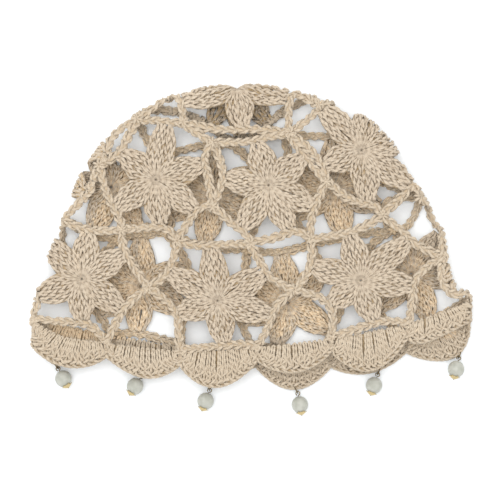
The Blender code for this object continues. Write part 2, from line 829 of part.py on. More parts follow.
def build():
    clear_scene()
    cap = new_collection("crochet_skull_cap")
    eyes = new_collection("hem_eyes", helper=True)
    petals = new_material("cotton_petals", (0.66, 0.54, 0.39), 0.9)
    chains = new_material("cotton_chains", (0.60, 0.48, 0.34), 0.9)
    shells = new_material("cotton_shells", (0.64, 0.52, 0.37), 0.9)
    glass = new_material("frosted_glass", (0.62, 0.68, 0.60), 0.45, transmission=0.4)
    gold = new_material("gold_plate", (0.83, 0.55, 0.18), 0.3, metallic=1.0)
    steel = new_material("blackened_steel", (0.28, 0.27, 0.26), 0.35, metallic=1.0)

    places = join_places()
    for flower in FLOWERS:
        add_flower(flower, cap, petals)
        add_loop(flower, places, cap, chains)
    add_hem(cap, eyes, shells)
    for number, drop in enumerate(DROPS, start=1):
        add_jump_ring(number, drop, cap, steel)
        add_head_pin(number, drop, cap, steel)
        add_bead(number, drop, cap, glass)
        add_bead_cap(number, drop, cap, gold)

    bpy.context.view_layer.update()
    pieces = list(cap.objects)
    low, high = bounds_of(pieces)
    middle = new_object("cap_centre", None, cap)
    middle.location = (-(low[0] + high[0]) / 2, -(low[1] + high[1]) / 2, -low[2])
    for piece in pieces + list(eyes.objects):
        piece.parent = middle


build()
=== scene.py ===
# %% [markdown]
# # A crochet skull cap, strand by strand
# The cap on the photograph lies flat on a white table. It is worked in cotton yarn: thirteen flowers, a
# braided chain round each flower, and a hem of shells with six bead drops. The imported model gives
# the plain padded shapes and their places. This lesson covers them with real strands of yarn.

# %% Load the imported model
import math

import bpy
import numpy as np
from mathutils import Matrix, Vector


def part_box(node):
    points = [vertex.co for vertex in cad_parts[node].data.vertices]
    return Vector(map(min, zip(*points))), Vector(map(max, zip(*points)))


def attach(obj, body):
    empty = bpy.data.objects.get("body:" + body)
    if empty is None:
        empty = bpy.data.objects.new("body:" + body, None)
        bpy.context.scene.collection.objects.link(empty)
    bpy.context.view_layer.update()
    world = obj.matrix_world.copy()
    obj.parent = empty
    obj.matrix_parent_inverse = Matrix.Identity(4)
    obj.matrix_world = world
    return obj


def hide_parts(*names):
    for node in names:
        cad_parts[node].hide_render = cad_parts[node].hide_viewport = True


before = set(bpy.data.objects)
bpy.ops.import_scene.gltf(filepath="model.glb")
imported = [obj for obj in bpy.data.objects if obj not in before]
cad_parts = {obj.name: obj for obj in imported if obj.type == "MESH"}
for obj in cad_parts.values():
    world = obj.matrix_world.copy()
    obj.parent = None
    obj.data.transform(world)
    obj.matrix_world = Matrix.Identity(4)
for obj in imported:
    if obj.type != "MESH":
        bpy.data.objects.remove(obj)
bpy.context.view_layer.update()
bpy.ops.object.select_all(action="DESELECT")
MM = 0.001

# %% [markdown]
# ## The lay of the cloth
# Crochet follows the cloth, and the cloth here is one bag, pressed flat: a front layer, a back layer, and
# a fold between them. Every stitch is drawn on a flat plan and then laid on that bag. The alternative,
# placing strands by hand in space, would lose them at the folds. The plan's numbers are shares of the
# cap's half width and depth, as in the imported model.

# %% The fold line
HALF_WIDTH = 0.267 / 2
DEPTH = 0.153
# From the hem's left end over the crown to its right end. Each pair: shares across and up.
FOLD_LINE = [
    (-0.985, -0.300), (-0.985, -0.086), (-0.988, 0.059), (-0.950, 0.225), (-0.893, 0.366),
    (-0.848, 0.460), (-0.798, 0.605), (-0.727, 0.715), (-0.622, 0.818), (-0.440, 0.918),
    (-0.250, 0.973), (-0.065, 0.992), (0.110, 0.982), (0.270, 0.950), (0.440, 0.890),
    (0.560, 0.825), (0.660, 0.715), (0.757, 0.560), (0.845, 0.430), (0.880, 0.314),
    (0.905, 0.225), (0.970, 0.172), (0.987, 0.080), (0.987, -0.098), (0.987, -0.300),
]


def on_plan(across, up):
    return np.array([across * HALF_WIDTH, up * DEPTH])


def smooth_line(points, steps=14):
    """A Catmull-Rom curve through the points."""
    points = np.array(points, float)
    padded = np.vstack([2 * points[0] - points[1], points, 2 * points[-1] - points[-2]])
    line = []
    for a, b, c, d in zip(padded, padded[1:], padded[2:], padded[3:]):
        for t in np.arange(steps) / steps:
            curve = 2 * b + (c - a) * t + (2 * a - 5 * b + 4 * c - d) * t**2
            line.append(0.5 * (curve + (3 * b - 3 * c + d - a) * t**3))
    return np.array([*line, points[-1]])


FOLD = smooth_line([on_plan(*point) for point in FOLD_LINE])
print("Fold line:", round(np.linalg.norm(np.diff(FOLD, axis=0), axis=1).sum() / MM), "mm long")


# %% Measure from the fold, and two small helpers
def nearest_fold(points):
    """Each point's nearest place on the fold line, and how far inside the fold it lies."""
    start, run = FOLD[:-1], np.diff(FOLD, axis=0)
    offset = points[:, None] - start[None]
    share = np.clip((offset * run).sum(2) / (run**2).sum(1), 0, 1)
    feet = start[None] + share[..., None] * run[None]
    best = np.linalg.norm(points[:, None] - feet, axis=2).argmin(axis=1)
    foot = feet[np.arange(len(points)), best]
    inward = np.stack([run[best, 1], -run[best, 0]], axis=1)
    inward /= np.linalg.norm(inward, axis=1)[:, None]
    return foot, ((points - foot) * inward).sum(axis=1)


def ease(share):
    """A share from 0 to 1 that starts and ends softly."""
    share = np.clip(share, 0, 1)
    return share * share * (3 - 2 * share)


def heading(degrees):
    """A step of length 1 on the plan in this direction."""
    return np.array([math.cos(math.radians(degrees)), math.sin(math.radians(degrees))])


print("The plan's zero lies", round(nearest_fold(np.zeros((1, 2)))[1][0] / MM, 1), "mm inside the fold")

# %% [markdown]
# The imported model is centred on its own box, so the plan is shifted to it. The lower middle flower of
# the back layer lies quite flat, and its petals at -33 and -105 degrees reach its box. They show how far.

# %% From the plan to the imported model's place
PETAL_LENGTH = 0.0282
low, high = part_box("flower_back_lower_mid")
flat_centre = on_plan(0.160, 0.145)
SHIFT = np.array([
    high.x - (flat_centre + PETAL_LENGTH * heading(-33))[0],
    low.y - (flat_centre + 0.88 * PETAL_LENGTH * heading(-105))[1],
])
print("The plan moves by, in mm:", np.round(SHIFT / MM, 3))

# %% The two layers
FRONT, BACK = 1, -1
MIDDLE = 0.0024  # the middle of the back layer above the table
FOLD_RADIUS = 0.005
LOFT = 0.004  # the front layer rises by this towards its middle
LOFT_RUN = 0.045


def lie(side, points):
    """The middle of the cloth in space. Past the fold it turns under."""
    foot, inside = nearest_fold(points)
    over = inside < 0
    flat = np.where(over[:, None], 2 * foot - points, points)
    sides = np.where(over, -side, side)
    depth = np.abs(inside)
    turn = 1 - np.clip(depth / FOLD_RADIUS, 0, 1)
    swell = LOFT * ease(depth / LOFT_RUN) * ease(flat[:, 1] / LOFT_RUN) * (sides == FRONT)
    height = MIDDLE + FOLD_RADIUS + sides * FOLD_RADIUS * np.sqrt(1 - turn**2) + swell
    return np.column_stack([flat + SHIFT, height])


def cloth(side, points):
    """The middle of the cloth, and the way that its outer face looks."""
    step = 0.0002
    here = lie(side, points)
    across = lie(side, points + [step, 0]) - here
    up = lie(side, points + [0, step]) - here
    normal = side * np.cross(across, up)
    return here, normal / np.linalg.norm(normal, axis=1)[:, None]


for layer, name in ((BACK, "back"), (FRONT, "front")):
    height = lie(layer, np.array([on_plan(0, 0.5)]))[0, 2]
    print("The middle of the", name, "layer lies", round(height / MM, 1), "mm above the table")

# %% [markdown]
# ## Strands of yarn
# A strand is a tube with six sides. Thousands of them are needed, so they are swept from arrays and
# joined into one mesh for each piece: modelling them one by one would take hours, and a texture
# would stay flat at the edges. Each strand has a UV map, along and around, for the twist of its plies.

# %% Lay a line on the cloth, at even steps
STEP = 0.00115
FINE_STEP = 0.0004
rng = np.random.default_rng(7)


def laid(side, points, lift=None):
    """A line on the plan as close points in space, with the cloth's outward directions."""
    points = np.asarray(points, float)
    travel = np.r_[0, np.cumsum(np.linalg.norm(np.diff(points, axis=0), axis=1))]
    fine = np.linspace(0, travel[-1], max(int(travel[-1] / FINE_STEP), 4))
    plan = np.column_stack([np.interp(fine, travel, points[:, k]) for k in range(2)])
    place, normal = cloth(side, plan)
    if lift is not None:
        place = place + normal * np.interp(fine / travel[-1], *lift)[:, None]
    return place, normal


def evened(place, normal, closed=False, step=STEP):
    """The same line with even steps: its points, outward directions and distances."""
    if closed:
        place, normal = np.vstack([place, place[:1]]), np.vstack([normal, normal[:1]])
    travel = np.r_[0, np.cumsum(np.linalg.norm(np.diff(place, axis=0), axis=1))]
    even = np.linspace(0, travel[-1], max(int(travel[-1] / step), 3) + 1)
    place = np.column_stack([np.interp(even, travel, place[:, k]) for k in range(3)])
    normal = np.column_stack([np.interp(even, travel, normal[:, k]) for k in range(3)])
    normal /= np.linalg.norm(normal, axis=1)[:, None]
    if closed:
        place, normal, even = place[:-1], normal[:-1], even[:-1]
    return place, normal, even


def directions(place, closed=False):
    if closed:
        run = np.roll(place, -1, axis=0) - np.roll(place, 1, axis=0)
    else:
        run = np.gradient(place, axis=0)
    return run / np.linalg.norm(run, axis=1)[:, None]


trial = evened(*laid(FRONT, [on_plan(-0.2, 0.5), on_plan(0.2, 0.5)]))
print("A trial line of", round(trial[2][-1] / MM, 1), "mm has", len(trial[0]), "points")

# %% [markdown]
# Cotton yarn for crochet has three plies, which wind round one another. The tube bulges over each of
# them, and the bulges turn on their way along the strand. On real yarn a turn is about 3 mm. Here it is
# drawn more than three times as long, as finer plies wouldn't show in the picture.

# %% The rings of one strand
SIDES = 6
PLIES = 3
PLY_TURN = 0.0105
PLY_DEPTH = 0.14


def tube(place, normal, width, height, closed, plied):
    """The rings of one strand, as an array of points by sides. Its plies wind round it."""
    along = directions(place, closed)
    across = np.cross(along, normal)
    across /= np.linalg.norm(across, axis=1)[:, None]
    out = np.cross(across, along)
    turn = 2 * math.pi * np.arange(SIDES) / SIDES + np.zeros((len(place), 1))
    bulge = np.ones(SIDES)
    if plied:
        travel = np.r_[0, np.cumsum(np.linalg.norm(np.diff(place, axis=0), axis=1))]
        whole = travel[-1] + (np.linalg.norm(place[0] - place[-1]) if closed else 0)
        turns = max(round(PLIES * whole / PLY_TURN), 1) / PLIES if closed else whole / PLY_TURN
        turn = turn + (2 * math.pi * turns * travel / whole)[:, None]
        bulge = 1 + PLY_DEPTH * np.cos(PLIES * 2 * math.pi * np.arange(SIDES) / SIDES)
    width = (np.broadcast_to(width, len(place))[:, None] * bulge * np.cos(turn))[..., None]
    height = (np.broadcast_to(height, len(place))[:, None] * bulge * np.sin(turn))[..., None]
    return place[:, None] + across[:, None] * width + out[:, None] * height


TRIAL_RADIUS = 0.0008
trial_rings = tube(*trial[:2], TRIAL_RADIUS, TRIAL_RADIUS, closed=False, plied=True)
print("A strand has rings of", trial_rings.shape[1], "points, which bulge over", PLIES, "plies")


# %% Gather the strands of one piece in one mesh
class Yarn:
    """The strands of one piece, gathered to be joined into one mesh."""

    def __init__(self):
        self.points, self.faces, self.uvs, self.tones = [], [], [], []
        self.count = 0

    def add(self, place, normal, width, height=None, closed=False, tone=1.0):
        """Adds a round strand with plies, or a flat one without them where it has a height."""
        plied = height is None
        height = width if plied else height
        place = place.copy()
        place[:, 2] = np.maximum(place[:, 2], height)
        rings = tube(place, normal, width, height, closed, plied)
        rows = len(place)
        travel = np.r_[0, np.cumsum(np.linalg.norm(np.diff(place, axis=0), axis=1))]
        first = np.arange(rows if closed else rows - 1)
        i, j = [grid.ravel() for grid in np.meshgrid(first, np.arange(SIDES), indexing="ij")]
        i2, j2 = (i + 1) % rows, (j + 1) % SIDES
        base = self.count
        quads = base + np.stack([i * SIDES + j, i2 * SIDES + j, i2 * SIDES + j2, i * SIDES + j2], 1)
        ahead = travel[i] + STEP
        around, next_around = j / SIDES, (j + 1) / SIDES
        self.uvs.append(
            np.stack([travel[i], around, ahead, around, ahead, next_around, travel[i], next_around], 1)
            .reshape(-1, 2) / [MM, 1]
        )
        self.faces += quads.tolist()
        if not closed:
            self.faces += [list(range(base, base + SIDES))]
            last = base + (rows - 1) * SIDES
            self.faces += [list(range(last, last + SIDES))[::-1]]
            self.uvs.append(np.zeros((2 * SIDES, 2)))
        self.points.append(rings.reshape(-1, 3))
        self.tones.append(np.repeat(np.broadcast_to(tone, rows), SIDES))
        self.count += rows * SIDES

    def as_object(self, name, material):
        """One mesh object of all the strands, with their UV map and tones."""
        mesh = bpy.data.meshes.new(name)
        mesh.from_pydata(np.vstack(self.points).tolist(), [], self.faces)
        mesh.uv_layers.new(name="strand").data.foreach_set("uv", np.vstack(self.uvs).ravel())
        shade = mesh.attributes.new("tone", "FLOAT", "POINT")
        shade.data.foreach_set("value", np.concatenate(self.tones))
        mesh.shade_smooth()
        mesh.materials.append(material)
        piece = bpy.data.objects.new(name, mesh)
        bpy.context.scene.collection.objects.link(piece)
        return piece


trial_yarn = Yarn()
trial_yarn.add(*trial[:2], TRIAL_RADIUS)
print("Faces of a strand of", round(trial[2][-1] / MM, 1), "mm:", len(trial_yarn.faces))

# %% [markdown]
# Cotton lets light through, so on the real cap the layer underneath is a warm tan even in the shade.
# Light that passes through thousands of strands would take very long to render. So each strand carries
# a tone, and the layer underneath has a paler one: painted light, in place of the light that passes
# through. It fades towards the fold and the hem's edge, where that layer lies in the light.

# %% The tone of a strand, with painted light on the layer underneath
UNDER_PAINTED_LIGHT = 0.56
FOLD_FADE = (0.004, 0.012)  # from the fold: where the paler tone starts, and over what length
HEM_FADE = (-0.004, 0.008)  # the same, up from the hem's corners


# Painted light: strands of the layer underneath get a paler tone, fading out near the fold and the hem's
# edge.
def painted_light_at(side, place):
    if side == FRONT:
        return np.ones(len(place))
    plan = place[:, :2] - SHIFT
    from_fold = ease((nearest_fold(plan)[1] - FOLD_FADE[0]) / FOLD_FADE[1])
    from_hem = ease((plan[:, 1] - HEM_FADE[0]) / HEM_FADE[1])
    return 1 + UNDER_PAINTED_LIGHT * from_fold * from_hem


print("Tone amid the layer underneath:", round(painted_light_at(BACK, lie(BACK, on_plan(0, 0.5)[None]))[0], 2))

# %% [markdown]
# A crochet chain looks like a plait from in front: V after V. Three strands that swing from side to
# side and dive under one another give just that. The swing makes the width, the dive the thickness,
# and the pitch is the length in which a strand comes back to where it was, which is three Vs.

# %% Plait three strands along a line
V_PITCH = 0.0055
BEND_EVERY = 0.004
BEND = 0.22
# A strand's thickness and tone, and what lying on top and straying add to them. Lying on top adds
# painted light to the tone, and diving under gives it painted shade.
THICK, THICK_ON_TOP, THICK_ASTRAY = 0.92, 0.16, 0.25
BRIGHT, PAINTED_LIGHT_ON_TOP = 0.90, 0.10


def plait(yarn, line, swing, dive, radius, pitch=3 * V_PITCH, closed=False, start=0.0, tone=1.0):
    """Three strands that swing across the line. Each is plump where it lies on top; its tone has painted
    light there and painted shade where it dives.
    """
    place, normal, travel = line
    across = np.cross(directions(place, closed), normal)
    across /= np.linalg.norm(across, axis=1)[:, None]
    if closed:
        whole = travel[-1] + np.linalg.norm(place[0] - place[-1])
        turn = travel / whole * round(whole / pitch) * 2 * math.pi
    else:
        pitch = np.broadcast_to(pitch, len(travel))
        turn = start + np.r_[0, np.cumsum(np.diff(travel) / pitch[1:])] * 2 * math.pi
    bends = np.linspace(0, travel[-1], max(int(travel[-1] / BEND_EVERY), 3))
    for third in range(3):
        stray = np.interp(travel, bends, rng.normal(0, BEND, len(bends)))
        if closed:
            stray *= np.minimum(1, np.minimum(travel, travel[-1] - travel) / BEND_EVERY)
        t = turn + third * 2 * math.pi / 3 + stray
        out = dive * np.sin(2 * t)
        strand = place + across * (swing * np.sin(t))[:, None] + normal * out[:, None]
        top = np.sin(2 * t)
        yarn.add(
            strand, normal, radius * (THICK + THICK_ON_TOP * top + THICK_ASTRAY * stray),
            closed=closed, tone=tone * (BRIGHT + PAINTED_LIGHT_ON_TOP * top),
        )


def finish_piece(piece, node):
    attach(piece, "root")
    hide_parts(node)
    return piece


print("A plait shows a V every", round(V_PITCH / MM, 1), "mm")

# %% [markdown]
# ## Materials
# Unbleached cotton yarn is matt and a little fuzzy: its fibres scatter light, so it gets a high
# roughness and some sheen. The grooves between its plies are darker: painted shade. The deep side of
# each stitch is browner, also painted shade, for light that reaches it only through other fibres. An
# image could show all that too, but it would not follow the strands. Here the plies come from the
# strand's UV map, and the fibres and the faded patches from noise on Object coordinates. One ramp turns
# their sum, with the strand's tone, to colour. Its dark end is painted shade, and its pale end is painted
# light for the layer underneath.

# %% Colours and a node helper
def linear(code):
    """An sRGB hex colour as linear values."""
    parts = [int(code[k:k + 2], 16) / 255 for k in (1, 3, 5)]
    return (*[v / 12.92 if v <= 0.04045 else ((v + 0.055) / 1.055) ** 2.4 for v in parts], 1.0)


def add_node(material, kind, settings=None, **links):
    """Adds a node. links gives each input a value, or another node's socket: _0 is input 0."""
    node = material.node_tree.nodes.new(kind)
    for name, value in (settings or {}).items():
        setattr(node, name, value)
    for name, value in links.items():
        key = int(name[1:]) if name[0] == "_" else name.replace("_", " ")
        if isinstance(value, bpy.types.NodeSocket):
            material.node_tree.links.new(value, node.inputs[key])
        else:
            node.inputs[key].default_value = value
    return node


print("A pale cream in linear values:", [round(v, 3) for v in linear("#E9D3B4")])


# %% A helper for materials
def new_material(name, **values):
    """A material whose shader has these values, and the shader."""
    material = bpy.data.materials.new(name)
    material.use_nodes = True
    shader = material.node_tree.nodes["Principled BSDF"]
    for key, value in values.items():
        shader.inputs[key.replace("_", " ")].default_value = value
    return material, shader


# %% Cotton yarn
FIBRES_PER_METRE = 900.0  # clumps about 1 mm wide, as single fibres are too fine to show
PATCHES_PER_METRE = 28.0  # faded patches about 36 mm wide
# How much the fibres, the faded patches and the painted shade in the ply grooves show in the colour.
FIBRES_SHOW, PATCHES_SHOW, PLY_GROOVE_SHADE = 0.35, 0.45, 0.12
TONE_SHOWS = 0.55


def cotton_yarn(name, back_painted_light, light, middle, deep, hollow="#8C7049"):
    """Unbleached cotton yarn. Its ramp runs from painted shade in hollows and on the deep side of
    stitches, through the yarn's own colours, to painted light for the layer underneath.
    """
    material, shader = new_material(
        name, Roughness=0.9, Sheen_Weight=0.2, Sheen_Roughness=0.5, Specular_IOR_Level=0.2,
    )
    tree = material.node_tree
    uv = add_node(material, "ShaderNodeUVMap", {"uv_map": "strand"})
    parts = add_node(material, "ShaderNodeSeparateXYZ", _0=uv.outputs[0])
    twist = add_node(
        material, "ShaderNodeMath", {"operation": "MULTIPLY"},
        _0=parts.outputs[1], _1=PLIES * 2 * math.pi,
    )
    plies = add_node(material, "ShaderNodeMath", {"operation": "COSINE"}, _0=twist.outputs[0])
    place = add_node(material, "ShaderNodeTexCoord")
    fibres = add_node(
        material, "ShaderNodeTexNoise",
        Vector=place.outputs["Object"], Scale=FIBRES_PER_METRE, Detail=3.0,
    )
    patches = add_node(
        material, "ShaderNodeTexNoise",
        Vector=place.outputs["Object"], Scale=PATCHES_PER_METRE, Detail=2.0,
    )
    tone = add_node(material, "ShaderNodeAttribute", {"attribute_name": "tone"})
    mixed = add_node(
        material, "ShaderNodeMath", {"operation": "MULTIPLY_ADD"},
        _0=fibres.outputs[0], _1=FIBRES_SHOW, _2=tone.outputs["Fac"],
    )
    mottled = add_node(
        material, "ShaderNodeMath", {"operation": "MULTIPLY_ADD"},
        _0=patches.outputs[0], _1=PATCHES_SHOW, _2=mixed.outputs[0],
    )
    groove_shaded = add_node(
        material, "ShaderNodeMath", {"operation": "MULTIPLY_ADD"},
        _0=plies.outputs[0], _1=PLY_GROOVE_SHADE, _2=mottled.outputs[0],
    )
    scaled = add_node(
        material, "ShaderNodeMath", {"operation": "MULTIPLY"}, _0=groove_shaded.outputs[0], _1=TONE_SHOWS
    )
    shades = add_node(material, "ShaderNodeValToRGB", _0=scaled.outputs[0])
    ramp = shades.color_ramp
    # The dark stops are painted shade for hollows and deep sides of stitches; the pale end is painted
    # light, reached only by the layer underneath.
    ramp.elements[0].position, ramp.elements[0].color = 0.03, linear(hollow)
    ramp.elements[1].position, ramp.elements[1].color = 1.00, linear(back_painted_light)
    for position, colour in ((0.25, deep), (0.60, middle), (0.82, light), (0.90, light)):
        ramp.elements.new(position).color = linear(colour)
    tree.links.new(shades.outputs[0], shader.inputs["Base Color"])
    relief = add_node(
        material, "ShaderNodeMath", {"operation": "MULTIPLY_ADD"},
        _0=plies.outputs[0], _1=0.5, _2=fibres.outputs[0],
    )
    bump = add_node(material, "ShaderNodeBump", Strength=0.7, Distance=0.0003, Height=relief.outputs[0])
    tree.links.new(bump.outputs[0], shader.inputs["Normal"])
    return material


petal_yarn = cotton_yarn("ecru_cotton_yarn_petals", "#E9D3B4", "#CDBFAC", "#C4B49F", "#B0976F")
chain_yarn = cotton_yarn("ecru_cotton_yarn_chains", "#E9D3B3", "#CCBEAA", "#C3B39D", "#B0976F")
shell_yarn = cotton_yarn("ecru_cotton_yarn_shells", "#EBD4B4", "#CCBEAA", "#C3B39D", "#AF966E")
print("Materials:", [yarn.name for yarn in (petal_yarn, chain_yarn, shell_yarn)])

# %% [markdown]
# ## The flowers
# Each flower is six petals, and each petal is made here of five columns of stitches. A column could be
# modelled stitch by stitch, but a plait that changes on its way out gives the same look with one curve.
# Near the centre it is a tight bundle, so the flower starts as a wheel of smooth spokes. From a third of
# the way out the bundle opens, and the columns fill the petal and close on its tip. Short strands lie
# over the columns, as the yarn does where a tall stitch is wound. A flat lining lies under each
# column, as the inside of a real stitch is never see-through. Its dark tone is painted shade between
# the strands.

# %% Where the flowers are, and which joins their chains run to
# Each row: name, layer, centre across and up, then for each of six petals its heading in degrees, its
# length as a share of PETAL_LENGTH, and the join or joins between it and the next petal.
FLOWERS = [
    ("crown", FRONT, -0.070, 0.992,
     (40, -12, -83, -165, -220, -270), (1.00, 1.06, 0.85, 1.15, 1.00, 1.00),
     ("top_right", "high_right", "high_left", "top_left", "peak_left", "peak_right")),
    ("front_upper_left", FRONT, -0.431, 0.627,
     (143, 80, 18, -38, -85, -144), (0.89, 1.16, 1.00, 1.00, 0.91, 0.98),
     ("top_left", ("high_left", "upper_gap"), "middle_left", "waist_left", "side_left",
      "shoulder_left")),
    ("front_upper_mid", FRONT, 0.072, 0.605,
     (105, 38, -25, -65, -122, -188), (0.90, 0.89, 0.98, 1.00, 1.02, 0.89),
     ("high_right", "upper_right", "middle_right", "centre", "middle_left", "upper_gap")),
    ("front_upper_right", FRONT, 0.488, 0.743,
     (133, 83, 12, -37, -84, -157), (1.15, 0.96, 0.95, 1.20, 1.06, 0.82),
     ("top_right", "turn_right", "side_right", "waist_right", "upper_right", "high_right")),
    ("front_lower_left", FRONT, -0.763, 0.240,
     (134, 81, 30, -36, -90, -157), (1.00, 0.96, 1.00, 1.00, 0.83, 0.94),
     ("edge_left", "side_left", "low_gap_left", "hem_1", "hem_0", "low_turn_left")),
    ("front_lower_mid", FRONT, -0.156, 0.155,
     (97, 31, -14, -82, -162, -211), (1.09, 1.10, 1.10, 0.86, 0.83, 1.13),
     ("centre", "low_gap_right", "hem_3", "hem_2", "low_gap_left", "waist_left")),
    ("front_lower_right", FRONT, 0.483, 0.234,
     (104, 41, -5, -72, -142, -196), (0.96, 1.27, 1.04, 0.85, 0.75, 1.02),
     ("waist_right", "low_right", "hem_5", "hem_4", "low_gap_right", "middle_right")),
    ("back_upper_right", BACK, 0.371, 0.600,
     (92, 25, -24, -80, -144, -200), (1.00, 0.77, 1.00, 1.00, 1.00, 1.00),
     ("turn_right", "side_right", "back_side_right", "back_waist_right", "back_gap",
      "peak_right")),
    ("back_upper_mid", BACK, -0.178, 0.565,
     (92, 30, -25, -100, -155, -210), (1.00, 1.00, 1.00, 1.00, 0.90, 0.90),
     ("peak_left", "back_gap", "back_centre", "back_waist_left", "back_high_left",
      "back_top_left")),
    ("back_upper_left", BACK, -0.640, 0.600,
     (110, 32, -12, -56, -112, -184), (1.00, 0.91, 0.87, 1.00, 1.00, 1.00),
     (("top_left", "back_top_left"), "back_high_left", "back_waist_left", "back_edge_left",
      "edge_left", "shoulder_left")),
    ("back_lower_right", BACK, 0.717, 0.259,
     (105, 54, -4, -68, -135, -200), (0.85, 1.00, 1.00, 1.00, 1.00, 1.00),
     ("side_right", "low_right", "hem_6", "hem_7", "back_low_right", "back_side_right")),
    ("back_lower_mid", BACK, 0.160, 0.145,
     (97, 42, -33, -105, -160, -205), (1.00, 1.00, 1.00, 0.88, 1.00, 1.00),
     ("back_waist_right", "back_low_right", "hem_8", "hem_9", "back_low_left", "back_centre")),
    ("back_lower_left", BACK, -0.504, 0.209,
     (90, 22, -28, -95, -148, -212), (1.00, 1.00, 1.00, 0.93, 1.00, 1.00),
     ("back_waist_left", "back_low_left", "hem_10", "hem_11", "low_turn_left",
      "back_edge_left")),
]


print("Flowers of the front layer:", sum(flower[1] == FRONT for flower in FLOWERS))

# %% The outline of a petal
PETAL_WIDTH = 0.0168
SHOULDER_ALONG = 0.76
SHOULDER_WIDTH = 0.70
SHOULDER_FILL = 1.25
PARTING_MOST = 0.68
ROOT_WIDTH, TIP_WIDTH = 0.0002, 0.0042


def gap_after(petals, petal):
    """The angle between this petal and the next one."""
    return (petals[petal % 6] - petals[(petal + 1) % 6]) % 360


def half_width(along, petals, reach, petal, hand):
    """How wide one side of a petal is, at each distance from the flower's centre."""
    length = PETAL_LENGTH * reach[petal]
    other = petal - 1 if hand < 0 else petal
    gap = math.radians(gap_after(petals, other))
    beside = (petal + (1 if hand > 0 else -1)) % 6
    parting = min(
        PARTING_MOST * PETAL_LENGTH * min(reach[petal], reach[beside]),
        PETAL_WIDTH / 2 / math.sin(gap / 2),
    )
    shoulder = min(
        SHOULDER_WIDTH * PETAL_WIDTH / 2,
        0.9 * SHOULDER_ALONG * length * math.tan(min(gap, math.radians(120)) / 2),
    )
    stops = [0, parting * math.cos(gap / 2), SHOULDER_ALONG * length, length]
    widths = [ROOT_WIDTH, parting * math.sin(gap / 2), SHOULDER_FILL * shoulder, TIP_WIDTH]
    return np.interp(along, stops, widths)


quarters = half_width(PETAL_LENGTH * np.array([0.25, 0.5, 0.75, 1]), *FLOWERS[0][4:6], 0, 1)
print("Half widths of the crown's first petal, in mm:", np.round(quarters / MM, 1))

# %% The numbers of a petal's columns
LONG_V = 0.0060
COLUMN_START, COLUMN_PAST_TIP = 0.0005, 0.0008
PETAL_LIFT = 0.0004
DOME, DOME_ROUND = 0.0009, 0.6  # a petal's rise in its middle, and the share that its sides lose
DIMPLE, DIMPLE_RADIUS = 0.0014, 0.0024  # the hollow at the flower's centre
WANDER, HEIGHT_WANDER, TONE_WANDER = 0.0003, 0.00022, 0.08
FULL_WANDER_AT = 0.009
SWING_LEAST, SWING_MOST = 0.00010, 0.0015
RIBBON_LEAST = 0.0003
SPOKE_PITCH = 0.036
BUNDLE_OPENS = [0.006, 0.012]
# How thick the strands are and how deep they dive, at these distances from the centre.
THICKNESS_OUT = ([0, 0.004, 0.010, 0.016], [0.00025, 0.00050, 0.00070, 0.00080])
DIVE_OUT = ([0, 0.006, 0.011], [0.0002, 0.0004, 0.0009])
# The lining under each column: how deep and how thick it lies, and its dark tone, which is painted shade
# between the strands.
LINING_DEPTH = 0.0007
LINING_HEIGHT = 0.0003
LINING_PAINTED_SHADE = 0.25
longest = PETAL_LENGTH * max(max(flower[5]) for flower in FLOWERS)
print("The longest column is", round((longest + COLUMN_PAST_TIP) / MM, 1), "mm long")


# %% Work one column of a petal
def work_column(yarn, side, centre, petals, reach, petal, column):
    length = PETAL_LENGTH * reach[petal]
    axis = heading(petals[petal])
    across = np.array([axis[1], -axis[0]])
    along = np.linspace(COLUMN_START, length + COLUMN_PAST_TIP, 60)
    half = half_width(along, petals, reach, petal, column)
    half = np.convolve(np.pad(half, 4, mode="edge"), np.ones(9) / 9, mode="valid")
    bends = np.linspace(0, along[-1], 7)
    wobble = np.interp(along, bends, rng.normal(0, WANDER, 7)) * ease(along / FULL_WANDER_AT)
    plan = centre + np.outer(along, axis) + np.outer(column * half + wobble, across)
    share = np.linspace(0, 1, 16)
    dome = DOME * np.sin(math.pi * share**0.8) * (1 - DOME_ROUND * column**2)
    dimple = -DIMPLE * np.exp(-((share * length / DIMPLE_RADIUS) ** 2))
    uneven = rng.normal(0, HEIGHT_WANDER, 16) * ease(share / 0.4)
    lift = (share, side * (PETAL_LIFT + dome + dimple + uneven))
    line = evened(*laid(side, plan, lift))
    place, normal, travel = line
    spread = np.interp(travel, along - along[0], half)
    radius = np.interp(travel, *THICKNESS_OUT)
    swing = np.clip(spread / 4.4 - 0.6 * radius, SWING_LEAST, SWING_MOST)
    dive = np.interp(travel, *DIVE_OUT)
    pitch = np.interp(travel, BUNDLE_OPENS, [SPOKE_PITCH, 3 * LONG_V * rng.uniform(0.85, 1.15)])
    tone = painted_light_at(side, place) + rng.normal(0, TONE_WANDER)
    plait(yarn, line, swing, dive, radius, pitch, start=rng.uniform(0, 6.28), tone=tone)
    # A flat lining under the column, dark as painted shade between the strands.
    thin = slice(None, None, 2)
    ribbon = np.maximum(spread[thin] / 3.8, RIBBON_LEAST)
    deep = place[thin] - side * LINING_DEPTH * normal[thin]
    yarn.add(deep, normal[thin], ribbon, LINING_HEIGHT, tone=LINING_PAINTED_SHADE)


# %% Work one flower
WRAPS_PER_PETAL = 7
WRAPS_FROM, WRAPS_OVER = 0.42, 0.5  # where the wraps lie, as shares of the petal's length
PETAL_WRAP_RADIUS = 0.00066
WRAP_STEP = 0.0008
WRAP_ARCH = MM * np.array([0.0, 1.2, 1.7, 1.2, 0.0])


